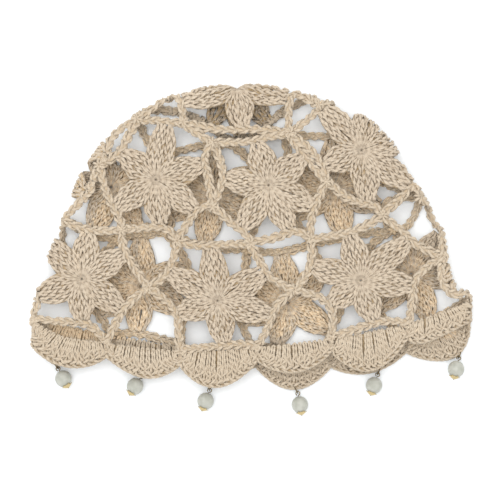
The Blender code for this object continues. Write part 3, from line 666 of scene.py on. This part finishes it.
def work_wrap(yarn, side, middle, reach, radius):
    """A short strand that arches over the others. It reaches as far to both sides of its middle."""
    line = [middle + share * reach for share in np.linspace(-1, 1, 7)]
    arch = (np.linspace(0, 1, len(WRAP_ARCH)), side * WRAP_ARCH)
    place, normal, travel = evened(*laid(side, line, arch), step=WRAP_STEP)
    swell = radius * np.interp(travel / travel[-1], [0, 0.5, 1], [0.7, 1.1, 0.7])
    yarn.add(place, normal, swell, tone=painted_light_at(side, place) + rng.normal(0, TONE_WANDER))


COLUMNS = (-0.82, -0.42, 0, 0.42, 0.82)  # their places, as shares of the petal's half width


def work_flower(name, side, across, up, petals, reach, joins):
    yarn = Yarn()
    centre = on_plan(across, up)
    for petal in range(6):
        for column in COLUMNS:
            work_column(yarn, side, centre, petals, reach, petal, column)
        axis = heading(petals[petal])
        square = np.array([axis[1], -axis[0]])
        for wrap in range(WRAPS_PER_PETAL):
            share = WRAPS_FROM + WRAPS_OVER * (wrap + rng.uniform()) / WRAPS_PER_PETAL
            out = PETAL_LENGTH * reach[petal] * share
            hand = rng.uniform(-0.75, 0.75)
            aside = hand * half_width(out, petals, reach, petal, hand)
            middle = centre + out * axis + aside * square
            lean = MM * (rng.uniform(1.6, 2.6) * axis + np.sign(hand) * rng.uniform(0.3, 1.0) * square)
            work_wrap(yarn, side, middle, lean, PETAL_WRAP_RADIUS)
    piece = yarn.as_object(f"crochet_flower_{name}", petal_yarn)
    return finish_piece(piece, f"flower_{name}")


flowers = [work_flower(*flower) for flower in FLOWERS]
print("Flowers:", len(flowers), "with", len(flowers[0].data.polygons), "faces in the first")

# %% [markdown]
# ## The chains
# A braided chain runs round every flower, over its petal tips and out to the joins with the other chains.
# It is drawn on the plan as smooth legs between those places, and plaited all round with a whole
# number of stitches, so that it closes without a seam. A curve object with a bevel could follow the same
# line, but it would be a smooth tube. Where chains meet, a knot of short strands holds them.

# %% The hem's corners and the joins
# Each row: layer, corner across and up, and the scallop's depths as shares of SCALLOP_DEPTH at the
# notch and at its lowest point, which lies this share of the way along.
SCALLOPS = [
    (FRONT, -0.987, 0.086, 0.90, 1.29, 0.37), (FRONT, -0.654, -0.004, 0.53, 1.09, 0.53),
    (FRONT, -0.323, -0.035, 0.53, 1.34, 0.47), (FRONT, 0.020, -0.020, 0.53, 1.07, 0.52),
    (FRONT, 0.353, 0.016, 0.53, 1.41, 0.52), (FRONT, 0.694, 0.072, 0.53, 0.92, 0.36),
    (BACK, 0.975, 0.160, 0.75, 1.70, 0.20), (BACK, 0.694, 0.012, 0.53, 1.00, 0.48),
    (BACK, 0.353, -0.047, 0.53, 1.28, 0.50), (BACK, 0.020, -0.049, 0.53, 1.31, 0.66),
    (BACK, -0.326, -0.021, 0.53, 1.17, 0.62), (BACK, -0.631, 0.026, 0.53, 1.46, 0.70),
]
# Joins that lie elsewhere than amid the petal tips: shares across and up.
JOINS = {
    "top_left": (-0.515, 0.863), "high_left": (-0.308, 0.851), "upper_gap": (-0.178, 0.771),
    "middle_left": (-0.178, 0.522), "waist_left": (-0.335, 0.388), "centre": (-0.009, 0.380),
    "middle_right": (0.258, 0.398), "side_right": (0.748, 0.557), "low_right": (0.847, 0.329),
    "shoulder_left": (-0.685, 0.684), "top_right": (0.294, 0.918), "back_side_right": (0.635, 0.435),
}
CHAIN_THICKNESS = 0.0036
CHAIN_REACH = CHAIN_THICKNESS / 2 + 0.0007
TIP_PULL, JOIN_PULL = 0.4, 0.06


def corner_of(number):
    """Where two scallops meet. Where the layer changes, that is on the fold."""
    side, across, up = SCALLOPS[number % 12][:3]
    corner = on_plan(across, up)
    if SCALLOPS[number % 12 - 1][0] == side:
        return corner
    return nearest_fold(corner[None])[0][0]


def seen_from(side, own_side, point):
    """A point of one layer on the plan of the other, mirrored in the fold."""
    if side == own_side:
        return point
    return 2 * nearest_fold(np.atleast_2d(point))[0][0] - point


def tip_of(flower, petal, past=0.0):
    """The tip of a petal, or a place past it."""
    petals, reach = flower[4], flower[5]
    return on_plan(*flower[2:4]) + (PETAL_LENGTH * reach[petal % 6] + past) * heading(petals[petal % 6])


def joins_after(flower, petal):
    joins = flower[6][petal]
    return (joins,) if isinstance(joins, str) else joins


def join_places():
    """Each join's side, place and number of chains: it lies amid the petal tips that meet there."""
    meeting = {}
    for flower in FLOWERS:
        for petal in range(6):
            for join in joins_after(flower, petal):
                tips = meeting.setdefault(join, [])
                tips += [(flower[1], tip_of(flower, end)) for end in (petal, petal + 1)]
    places = {}
    for join, tips in meeting.items():
        seen = [seen_from(tips[0][0], own_side, tip) for own_side, tip in tips]
        places[join] = (tips[0][0], np.mean(seen, axis=0), len(tips) // 2)
    for join, place in JOINS.items():
        places[join] = (places[join][0], on_plan(*place), places[join][2])
    for number in range(12):
        places[f"hem_{number}"] = (SCALLOPS[number][0], corner_of(number), 1)
    return places


PLACES = join_places()
print("Joins:", len(PLACES))

# %% The route of one chain
JOIN_SHARE = 0.45
JOIN_ROOM = 0.002
LEG_SHARES = np.linspace(0, 1, 16)[:-1, None]


def leg(start, leave, end, arrive):
    """A smooth curve from start to end, drawn out by the way that it leaves and arrives."""
    t = LEG_SHARES
    near, far = start + leave, end - arrive
    return (start * (1 - t) ** 3 + 3 * near * t * (1 - t) ** 2
            + 3 * far * t**2 * (1 - t) + end * t**3)


def chain_route(flower):
    """The legs of a chain on the plan, once round its flower."""
    centre = on_plan(*flower[2:4])
    route = []
    for petal in range(6):
        ahead = heading(flower[4][petal] - 90)
        stops = [(tip_of(flower, petal, CHAIN_REACH), ahead, TIP_PULL)]
        for join in joins_after(flower, petal):
            side, place, chains = PLACES[join]
            place = seen_from(flower[1], side, place)
            outward = (place - centre) / np.linalg.norm(place - centre)
            if join.startswith("hem"):
                stops.append((place, np.array([-1.0, 0.0]), JOIN_PULL))
            else:
                short = JOIN_SHARE * JOIN_ROOM / math.sin(math.pi / max(chains, 2))
                stops.append((place - short * outward, np.array([outward[1], -outward[0]]), JOIN_PULL))
        ahead = heading(flower[4][(petal + 1) % 6] - 90)
        stops.append((tip_of(flower, petal + 1, CHAIN_REACH), ahead, TIP_PULL))
        for (start, leave, pull), (end, arrive, brake) in zip(stops, stops[1:]):
            run = np.linalg.norm(end - start)
            route.append(leg(start, pull * run * leave, end, brake * run * arrive))
    return np.vstack(route)


print("The crown's chain is drawn through", len(chain_route(FLOWERS[0])), "points")

# %% Work one chain
CHAIN_LIFT, CHAIN_LIFT_WANDER = 0.0005, 0.0004
CHAIN_SWING, CHAIN_DIVE, CHAIN_STRAND = 0.0021, 0.0009, 0.00088
SWELL, SWELL_RUN = 0.15, 0.0065
# A flat sheet under the chain; its darker tone is painted shade between the strands.
CHAIN_LINING = {"width": 0.0016, "height": 0.0004, "tone": 0.65}
KNOT_RAYS, KNOT_TURN = 7, 51.4
KNOT_OUT, KNOT_REACH, KNOT_STRAND = 0.0019, 0.0017, 0.0008


def tie_knot(yarn, side, place):
    """Short strands in a star, which lie over the chains that meet here."""
    first = rng.uniform(0, 60)
    for ray in range(KNOT_RAYS):
        out = heading(first + KNOT_TURN * ray)
        work_wrap(yarn, side, place + KNOT_OUT * out, KNOT_REACH * out, KNOT_STRAND)


def work_chain(flower):
    route = chain_route(flower)
    for _ in range(2):
        route = (np.roll(route, 1, axis=0) + 2 * route + np.roll(route, -1, axis=0)) / 4
    route = np.vstack([route, route[:1]])
    lift = (np.linspace(0, 1, 30), CHAIN_LIFT + rng.normal(0, CHAIN_LIFT_WANDER, 30))
    lift[1][-1] = lift[1][0]
    place, normal = laid(flower[1], route, lift)
    line = evened(place[:-1], normal[:-1], closed=True)
    yarn = Yarn()
    swing = CHAIN_SWING * (1 + SWELL * np.sin(line[2] / SWELL_RUN + rng.uniform(0, 6.28)))
    tone = painted_light_at(flower[1], line[0])
    plait(yarn, line, swing, CHAIN_DIVE, CHAIN_STRAND, closed=True, tone=tone)
    yarn.add(line[0], line[1], closed=True, **CHAIN_LINING)
    for petal in range(6):
        for join in joins_after(flower, petal):
            if join not in knotted and not join.startswith("hem"):
                knotted.add(join)
                tie_knot(yarn, *PLACES[join][:2])
    piece = yarn.as_object(f"crochet_chain_{flower[0]}", chain_yarn)
    return finish_piece(piece, f"chain_loop_{flower[0]}")


knotted = set()
chains = [work_chain(flower) for flower in FLOWERS]
print("Chains:", len(chains), "with", sum(len(c.data.polygons) for c in chains), "faces")

# %% [markdown]
# ## The scalloped hem
# Each shell of the hem is a fan of tall stitches. From above, a tall stitch is a long loop with a round
# top. Its two legs part lower down, with a post between them and the yarn wound over all three, and small
# dark holes stay between. One stitch could be modelled and copied, but the copies would be too alike, so
# each is worked anew, with its own lean, width and tone. A flat lining lies under it, dark as painted
# shade between the strands. A wide braid runs along the edge, a thin cord of slip stitches lies outside
# it, and at the corners, where the shells are sewn together, a seam of three strands runs down to the
# notch.

# %% The edges of a scallop
SCALLOP_DEPTH = 0.018
TOP_SAG = 0.0010
GAP_UNDER_FIRST_CHAIN = 0.0036


def scallop_edges(number, along):
    """The upper and the lower edge of the hem, at each share of the way along one scallop."""
    notch, depth_share, lowest = SCALLOPS[number][3:]
    next_notch = SCALLOPS[(number + 1) % 12][3]
    along = np.atleast_1d(along)
    start, end = corner_of(number), corner_of(number + 1)
    corners = start + np.outer(along, end - start)
    sag = np.full(len(along), TOP_SAG)
    if number == 0:
        sag = TOP_SAG + GAP_UNDER_FIRST_CHAIN * (4 * along**0.8 * (1 - along**0.8)) ** 2
    lean = math.log(0.5) / math.log(lowest)
    bulge = np.maximum(np.sin(math.pi * along**lean), 0) ** 0.8
    shallow = notch + (next_notch - notch) * along
    depth = SCALLOP_DEPTH * (shallow + (depth_share - shallow) * bulge)
    up = np.array([0, 1])
    return corners - np.outer(sag, up), corners - np.outer(depth, up)


def hem_line(inset, lift, steps=60):
    """A line right round the hem, this far in from its lower edge."""
    places, normals = [], []
    for number in range(12):
        along = np.linspace(0, 1, steps)
        upper, lower = scallop_edges(number, along)
        rise = (upper - lower) / np.linalg.norm(upper - lower, axis=1)[:, None]
        run = np.gradient(lower, axis=0)
        square = np.column_stack([-run[:, 1], run[:, 0]])
        square *= (np.sign((square * rise).sum(axis=1)) / np.linalg.norm(run, axis=1))[:, None]
        share = np.sqrt(np.sin(math.pi * along).clip(0))[:, None]
        inward = share * square + (1 - share) * rise
        route = lower + inset * inward / np.linalg.norm(inward, axis=1)[:, None]
        side = SCALLOPS[number][0]
        place, normal = laid(side, route, ([0, 1], [side * lift] * 2))
        places.append(place[:-1])
        normals.append(normal[:-1])
    return evened(np.vstack(places), np.vstack(normals), closed=True)


lowest = min(scallop_edges(number, 0.5)[1][0, 1] for number in range(12))
print("The lowest shell ends", round(-lowest / MM, 1), "mm below the line of the corners")

# %% The feet of a shell's stitches
FOLD_TUCK = np.array([0, 0.004])


def shell_feet(number, steps=80):
    """The outline that a shell's stitches fan out to, as points at even steps along it."""
    lower = scallop_edges(number, np.linspace(0, 1, steps))[1]
    folded = [SCALLOPS[(number + k) % 12][0] != SCALLOPS[(number + k - 1) % 12][0] for k in (0, 1)]
    if folded[0]:
        lower = np.vstack([np.linspace(corner_of(number) - FOLD_TUCK, lower[0], 12), lower])
    if folded[1]:
        lower = np.vstack([lower, np.linspace(lower[-1], corner_of(number + 1) - FOLD_TUCK, 12)])
    travel = np.r_[0, np.cumsum(np.linalg.norm(np.diff(lower, axis=0), axis=1))]
    return lower, travel


print("The first shell fans out over", round(shell_feet(0)[1][-1] / MM, 1), "mm")

# %% The numbers of a tall stitch
LEG_RADIUS = 0.00072
LEG_APART = 0.00062
LOOP_ARCH = MM * np.array([0.2, 0.9, 1.2, 1, -0.2, 1, 1.2, 0.9, 0.2])
BRAID_ROOM = 0.0036
FANNING = 0.86
POST_FROM, POST_LIFT, POST_RADIUS = 0.5, 0.0007, 0.00062
HEM_WRAPS, HEM_WRAP_RADIUS = (0.55, 0.80, 1.0), 0.00074
HEM_TILT, HEM_TONE_WANDER = 0.00022, 0.07
HEM_LINING_DEPTH, HEM_LINING_TOP = 0.0004, 0.0018
STITCH_START, LINING_START, LINING_PAST_END = 0.0007, 0.0012, 0.0008
LEAST_TALL = 0.003
print("The loop of a tall stitch arches", round(LOOP_ARCH.max() / MM, 1), "mm over the cloth's middle")


# %% Work one tall stitch of the hem
def work_rib(yarn, number, rib, count, feet, travel):
    side = SCALLOPS[number][0]
    bottoms = np.array([rib, rib + 0.5, rib + 1]) / count
    foot_left, foot, foot_right = [
        np.array([np.interp(b * travel[-1], travel, feet[:, k]) for k in range(2)]) for b in bottoms
    ]
    top = scallop_edges(number, 0.5 + FANNING * (bottoms[1] - 0.5))[0][0]
    tall = np.linalg.norm(foot - top)
    along = (foot - top) / tall
    across = np.array([-along[1], along[0]])
    room = abs((foot_right - foot_left) @ across) / 2
    end = max(tall - BRAID_ROOM, LEAST_TALL)
    tilt = rng.normal(0, HEM_TILT)
    apart = LEG_APART * rng.uniform(0.85, 1.25)

    def leg_gap(travel):
        return apart + max(0.9 * room - apart, 0) * ease((travel / end - 0.35) / 0.65)

    down = np.linspace(STITCH_START, end, 12)
    legs = [
        top + np.outer(down, along) + np.outer(hand * leg_gap(down) + tilt, across) for hand in (-1, 1)
    ]
    crown = [top + tilt * across + 0.0002 * along]
    strand = np.vstack([legs[0][::-1], crown, legs[1]])
    heights = (np.linspace(0, 1, len(LOOP_ARCH)), side * LOOP_ARCH)
    stray = rng.normal(0, HEM_TONE_WANDER)
    place, normal, _ = evened(*laid(side, strand, heights))
    yarn.add(place, normal, LEG_RADIUS, tone=painted_light_at(side, place) + stray)
    post = top + np.outer(np.linspace(POST_FROM * end, end, 8), along) + tilt * across
    place, normal, _ = evened(*laid(side, post, ([0, 1], [side * POST_LIFT] * 2)))
    yarn.add(place, normal, POST_RADIUS, tone=painted_light_at(side, place) + stray)
    for level in HEM_WRAPS:
        middle = top + level * end * along + tilt * across
        lean = rng.choice([-1, 1]) * rng.uniform(1.2, 2.4) * MM * along
        reach = leg_gap(level * end) + 0.0005
        work_wrap(yarn, side, middle, lean + reach * across, HEM_WRAP_RADIUS)
    # A flat lining under the stitch, dark as painted shade between the strands.
    lining = top + np.outer(np.linspace(LINING_START, end + LINING_PAST_END, 9), along)
    under = ([0, 1], [-side * HEM_LINING_DEPTH] * 2)
    place, normal, gone = evened(*laid(side, lining, under), step=2 * STEP)
    width = np.interp(gone / gone[-1], [0, 1], [HEM_LINING_TOP, room])
    yarn.add(place, normal, width, LINING_HEIGHT, tone=LINING_PAINTED_SHADE)


# %% Work the hem
FOOT_PITCH = 0.0039
CORNER_WRAPS = 8
CORNER_DROP, CORNER_SPREAD, CORNER_REACH = 0.0012, 0.0016, 0.0021
CORNER_STRAND = 0.0008
SEAM_APART = 0.0009
SEAM_TONE = 0.95
hem_yarn = Yarn()
for number in range(12):
    side = SCALLOPS[number][0]
    feet, travel = shell_feet(number)
    count = round(travel[-1] / FOOT_PITCH)
    for rib in range(count):
        work_rib(hem_yarn, number, rib, count, feet, travel)
    place = corner_of(number) - [0, CORNER_DROP]
    for _ in range(CORNER_WRAPS):
        turn, lean = heading(rng.uniform(0, 360)), heading(rng.uniform(0, 360))
        work_wrap(hem_yarn, side, place + CORNER_SPREAD * turn, CORNER_REACH * lean, CORNER_STRAND)
    seam = np.linspace(place, scallop_edges(number, 0)[1][0], 9)
    for aside in (-SEAM_APART, 0, SEAM_APART):
        strand, normal, _ = evened(*laid(side, seam + [aside, 0]))
        hem_yarn.add(strand, normal, CORNER_STRAND, tone=SEAM_TONE)
print("Strands of the twelve shells:", len(hem_yarn.points))

# %% Finish the hem's edge
# Where each line lies: how far in from the edge, and above the middle of the cloth.
BRAID_AT, EDGE_LINING_AT, RIM_AT = (0.0024, 0.0004), (0.0016, -0.0003), (0.0005, -0.0003)
BRAID = {"swing": 0.0017, "dive": 0.0009, "radius": 0.00082, "pitch": 0.0126}
# The edge lining's dark tone is painted shade between the braid's strands.
EDGE_LINING = {"width": 0.0014, "height": 0.0003, "tone": 0.3}
RIM = {"width": 0.0006, "tone": 0.92}
plait(hem_yarn, hem_line(*BRAID_AT), closed=True, **BRAID)
hem_yarn.add(*hem_line(*EDGE_LINING_AT)[:2], closed=True, **EDGE_LINING)
hem_yarn.add(*hem_line(*RIM_AT)[:2], closed=True, **RIM)
hem = finish_piece(
    hem_yarn.as_object("crochet_scalloped_hem", shell_yarn), "scalloped_hem"
)
print("Hem:", len(hem.data.polygons), "faces")

# %% [markdown]
# ## The bead drops
# Each drop is a frosted glass bead on a head pin, under a stamped cap with points. The pin's loop hangs
# in a jump ring through the hem. All six are alike, so one drop is modelled upright at the origin, its
# axis along Z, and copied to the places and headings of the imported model's drops.
#
# Frosted glass is etched or tumbled: its rough skin scatters light, so it looks milky, with faint clouds
# and no sharp reflections. The cap is gold-plated brass with a dull shine, and the wire is steel,
# blackened brown.

# %% Glass, gold and dark wire
CLOUDS_PER_METRE = 330.0  # faint clouds about 3 mm wide
glass, glass_shader = new_material(
    "etched_frosted_glass", Roughness=0.5, IOR=1.5, Transmission_Weight=0.15, Subsurface_Weight=0.4,
    Subsurface_Scale=0.002, Subsurface_Radius=(1.0, 1.0, 1.0),
)
veil = add_node(glass, "ShaderNodeTexCoord")
clouds = add_node(
    glass, "ShaderNodeTexNoise", Vector=veil.outputs["Object"], Scale=CLOUDS_PER_METRE, Detail=2.0
)
milk = add_node(glass, "ShaderNodeValToRGB", _0=clouds.outputs[0])
for stop, position, colour in zip(milk.color_ramp.elements, (0.35, 0.65), ("#B2B4AA", "#C2C3BB")):
    stop.position, stop.color = position, linear(colour)
glass.node_tree.links.new(milk.outputs[0], glass_shader.inputs["Base Color"])
gold, _ = new_material("gold_plated_brass", Base_Color=linear("#CBB98D"), Metallic=1.0, Roughness=0.5)
wire, _ = new_material(
    "blackened_steel_wire", Base_Color=linear("#7C6E54"), Metallic=1.0, Roughness=0.38
)
print("Materials:", [material.name for material in (glass, gold, wire)])

# %% Helpers for modelling with operators
def apply_modifier(thing, kind, **settings):
    modifier = thing.modifiers.new(kind.lower(), kind)
    for key, value in settings.items():
        setattr(modifier, key, value)
    bpy.context.view_layer.objects.active = thing
    bpy.ops.object.modifier_apply(modifier=modifier.name)


def primitive(name, add, material, **settings):
    bpy.ops.object.select_all(action="DESELECT")
    add(**settings)
    thing = bpy.context.object
    thing.name = name
    thing.data.materials.append(material)
    bpy.ops.object.shade_smooth()
    return thing


# %% [markdown]
# A bead starts as a sphere, made rounder by a subdivision and then brought back to its size. Its bore is
# cut with a Boolean, which keeps clean edges round the hole.

# %% Drill a bead
BEAD_RADIUS = 0.0051
BORE_RADIUS = 0.0006
bead = primitive(
    "bead", bpy.ops.mesh.primitive_uv_sphere_add, glass, segments=16, ring_count=12, radius=BEAD_RADIUS
)
apply_modifier(bead, "SUBSURF", levels=1)
bead.scale = [2 * BEAD_RADIUS / max(bead.dimensions)] * 3
bpy.ops.object.transform_apply(location=False, rotation=False, scale=True)
bore = primitive(
    "bore", bpy.ops.mesh.primitive_cylinder_add, glass, vertices=12, radius=BORE_RADIUS, depth=0.02
)
apply_modifier(bead, "BOOLEAN", operation="DIFFERENCE", object=bore, solver="EXACT")
bpy.data.objects.remove(bore)
print("Bead:", round(max(bead.dimensions) / MM, 2), "mm wide,", len(bead.data.polygons), "faces")

# %% [markdown]
# A bead cap is stamped from thin sheet, with points that are bent round the bead. It starts as a sphere a
# little larger than the bead. All but its top is deleted along a wavy line, which leaves the points, the
# top is drawn up to a soft peak, and Solidify gives the sheet its thickness.

# %% Stamp a bead cap
CAP_RADIUS = 0.0054
CAP_POINTS = 6
CAP_REACH, CAP_WAVE = 37, 5  # degrees from the top
CAP_RIM = math.radians(24)
CAP_PEAK = 0.0012
CAP_SHEET = 0.0003
bead_cap = primitive(
    "bead_cap", bpy.ops.mesh.primitive_uv_sphere_add, gold, segments=30, ring_count=24, radius=CAP_RADIUS
)
bpy.ops.object.mode_set(mode="EDIT")
bpy.ops.mesh.select_all(action="DESELECT")
bpy.ops.object.mode_set(mode="OBJECT")
for vert in bead_cap.data.vertices:
    turn = math.atan2(vert.co.y, vert.co.x)
    reach = math.radians(CAP_REACH + CAP_WAVE * math.cos(CAP_POINTS * turn))
    vert.select = math.acos(max(-1, min(1, vert.co.z / CAP_RADIUS))) > reach
bpy.ops.object.mode_set(mode="EDIT")
bpy.ops.mesh.delete(type="VERT")
bpy.ops.object.mode_set(mode="OBJECT")
rim_height = CAP_RADIUS * math.cos(CAP_RIM)
rim_width = CAP_RADIUS * math.sin(CAP_RIM)
for vert in bead_cap.data.vertices:
    inward = 1 - math.hypot(vert.co.x, vert.co.y) / rim_width
    if inward > 0:
        vert.co.z = rim_height + CAP_PEAK * (1 - (1 - inward) ** 1.5)
apply_modifier(bead_cap, "SOLIDIFY", thickness=CAP_SHEET, offset=1)
print("Bead cap:", [round(size / MM, 2) for size in bead_cap.dimensions], "mm")

# %% [markdown]
# The head pin is one wire: a loop at one end, then straight through the bead and the cap. A path of edges
# through its points is turned into a curve, which has a round bevel, and then into a mesh. The jump ring
# is a torus of the same wire.

# %% Bend the wires
LOOP_RADIUS = 0.0012
RING_RADIUS = 0.0021
WIRE_RADIUS = 0.00034
PACKED_BEAD_RADIUS = 0.0050
PIN_HALF, RING_HALF = 0.0003, 0.00028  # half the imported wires' thickness
CLEARANCE = 0.0004
LOOP_AWAY = LOOP_RADIUS + PIN_HALF + CLEARANCE + PACKED_BEAD_RADIUS


def bent_wire(name, points, radius):
    """A wire through the points, swept from an edge path turned into a curve."""
    mesh = bpy.data.meshes.new(name)
    mesh.from_pydata([tuple(p) for p in points], [(k, k + 1) for k in range(len(points) - 1)], [])
    thing = bpy.data.objects.new(name, mesh)
    bpy.context.scene.collection.objects.link(thing)
    bpy.ops.object.select_all(action="DESELECT")
    thing.select_set(True)
    bpy.context.view_layer.objects.active = thing
    bpy.ops.object.convert(target="CURVE")
    thing.data.bevel_depth = radius
    thing.data.bevel_resolution = 1
    thing.data.use_fill_caps = True
    bpy.ops.object.convert(target="MESH")
    thing.data.materials.append(wire)
    bpy.ops.object.mode_set(mode="EDIT")
    bpy.ops.mesh.select_all(action="SELECT")
    bpy.ops.mesh.remove_doubles(threshold=1e-6)
    bpy.ops.mesh.normals_make_consistent(inside=False)
    bpy.ops.object.mode_set(mode="OBJECT")
    bpy.ops.object.shade_smooth()
    return thing


turns = np.radians(np.linspace(325, 15, 20))
loop_points = [(LOOP_RADIUS * math.sin(t), 0, -LOOP_AWAY + LOOP_RADIUS * math.cos(t)) for t in turns]
stem = [(0, 0, -LOOP_AWAY + LOOP_RADIUS), (0, 0, CAP_RADIUS + CAP_PEAK)]
head_pin = bent_wire("head_pin", loop_points + stem, WIRE_RADIUS)
jump_ring = primitive(
    "jump_ring", bpy.ops.mesh.primitive_torus_add, wire,
    major_radius=RING_RADIUS, minor_radius=WIRE_RADIUS, major_segments=28, minor_segments=6,
)
print("Head pin:", round(max(head_pin.dimensions) / MM, 1), "mm long")

# %% [markdown]
# A ring stands upright in the hem's edge, and the pin's loop hangs in it. The bead lies on the table, so
# the pin slopes down by as much as its length allows. Each copy has its own mesh, with its place in it.

# %% Copy the drop to its six places
HOLE_INSET = 0.0017
CATCH = math.radians(35)  # how far round the ring the loop is caught
# Each row: scallop, the share of the way along it, and the headings of the ring and of the pin.
DROPS = [
    (11, 0.725, -55, -60), (10, 0.595, -72, -122), (9, 0.635, -70, -110),
    (8, 0.470, -62, -80), (7, 0.360, -112, -110), (6, 0.140, -110, -105),
]


def frame_of(place, axis, side):
    """A matrix that turns Z to the axis and X to the side, and moves to the place."""
    turn = Matrix((side, axis.cross(side), axis)).transposed().to_4x4()
    return Matrix.Translation(place) @ turn


def hang(model, name, matrix, node):
    piece = bpy.data.objects.new(name, model.data.copy())
    piece.data.transform(matrix)
    bpy.context.scene.collection.objects.link(piece)
    return finish_piece(piece, node)


for number, (scallop, along, ring_heading, pin_heading) in enumerate(DROPS, start=1):
    outward = Vector((*heading(ring_heading), 0))
    edge = scallop_edges(scallop, along)[1][0] + SHIFT
    eye = Vector((*edge, MIDDLE)) + (RING_RADIUS - HOLE_INSET) * outward
    arm = RING_RADIUS * math.cos(CATCH) + LOOP_RADIUS - PIN_HALF - RING_HALF - CLEARANCE
    loop = eye + arm * outward + Vector((0, 0, RING_RADIUS * math.sin(CATCH)))
    rise = PACKED_BEAD_RADIUS - loop.z
    level = math.sqrt(LOOP_AWAY**2 - rise**2)
    axis = Vector((*(level * heading(pin_heading)), rise)).normalized()
    sideways = Vector((0, 0, 1)).cross(axis).normalized()
    upright = frame_of(loop + LOOP_AWAY * axis, axis, sideways)
    ring_axis = outward.cross(Vector((0, 0, 1)))
    hang(bead, f"glass_bead_{number}", upright, f"bead_{number}")
    hang(bead_cap, f"gold_bead_cap_{number}", upright, f"bead_cap_{number}")
    hang(head_pin, f"wire_head_pin_{number}", upright, f"head_pin_{number}")
    hang(jump_ring, f"wire_jump_ring_{number}", frame_of(eye, ring_axis, outward),
         f"jump_ring_{number}")
    packed = (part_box(f"bead_{number}")[0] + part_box(f"bead_{number}")[1]) / 2
    print("Drop", number, "misses the packed bead by, in mm:",
          round((packed - (loop + LOOP_AWAY * axis)).length / MM, 2))
for model in (bead, bead_cap, head_pin, jump_ring):
    bpy.data.objects.remove(model)

# %% [markdown]
# ## Camera, light and table
# The photograph was taken from straight above, so the camera looks down with a long lens. Its height is
# worked out from the photograph's scale. The light is one large soft panel beyond the crown, with a
# bright room round it, which gives the soft and nearly shadowless look of the photograph.

# %% Camera
PIXELS = 500
MM_PER_PIXEL = 0.6
PLAN_ORIGIN = (252.5, 340)  # the pixel where the plan's zero lies
LENS, SENSOR = 120, 36
SCALE_HEIGHT = 0.0074  # the height at which that scale holds
middle = np.array([
    (PIXELS / 2 - PLAN_ORIGIN[0]) * MM_PER_PIXEL, (PLAN_ORIGIN[1] - PIXELS / 2) * MM_PER_PIXEL
]) * MM + SHIFT
camera_data = bpy.data.cameras.new("camera")
camera_data.lens = LENS
camera_data.sensor_width = SENSOR
camera = bpy.data.objects.new("camera", camera_data)
camera.location = (*middle, PIXELS * MM_PER_PIXEL * MM * LENS / SENSOR + SCALE_HEIGHT)
bpy.context.scene.collection.objects.link(camera)
bpy.context.scene.camera = camera
print("Camera height:", round(camera.location.z, 3), "m")

# %% Table, light and room
bpy.ops.object.select_all(action="DESELECT")
bpy.ops.mesh.primitive_plane_add(size=3, location=(0, 0, 0))
table = bpy.context.object
table.name = "table"
paper, _ = new_material("matt_white_paper", Base_Color=linear("#F7FBFF"), Roughness=0.9)
table.data.materials.append(paper)

panel_data = bpy.data.lights.new("panel", "AREA")
panel_data.size = 1.2
panel_data.energy = 10.5
panel = bpy.data.objects.new("panel", panel_data)
panel.location = (-0.2, 0.25, 1.35)
panel.rotation_euler = (Vector((0, 0, 0)) - panel.location).to_track_quat("-Z", "Y").to_euler()
bpy.context.scene.collection.objects.link(panel)
print("Panel:", round(panel_data.size, 2), "m wide, at a height of", round(panel.location.z, 2), "m")

room = bpy.data.worlds.new("room")
bpy.context.scene.world = room
room.use_nodes = True
room.node_tree.nodes["Background"].inputs[0].default_value = linear("#FFFDFA")
room.node_tree.nodes["Background"].inputs[1].default_value = 1.06
bpy.context.scene.view_settings.view_transform = "Standard"
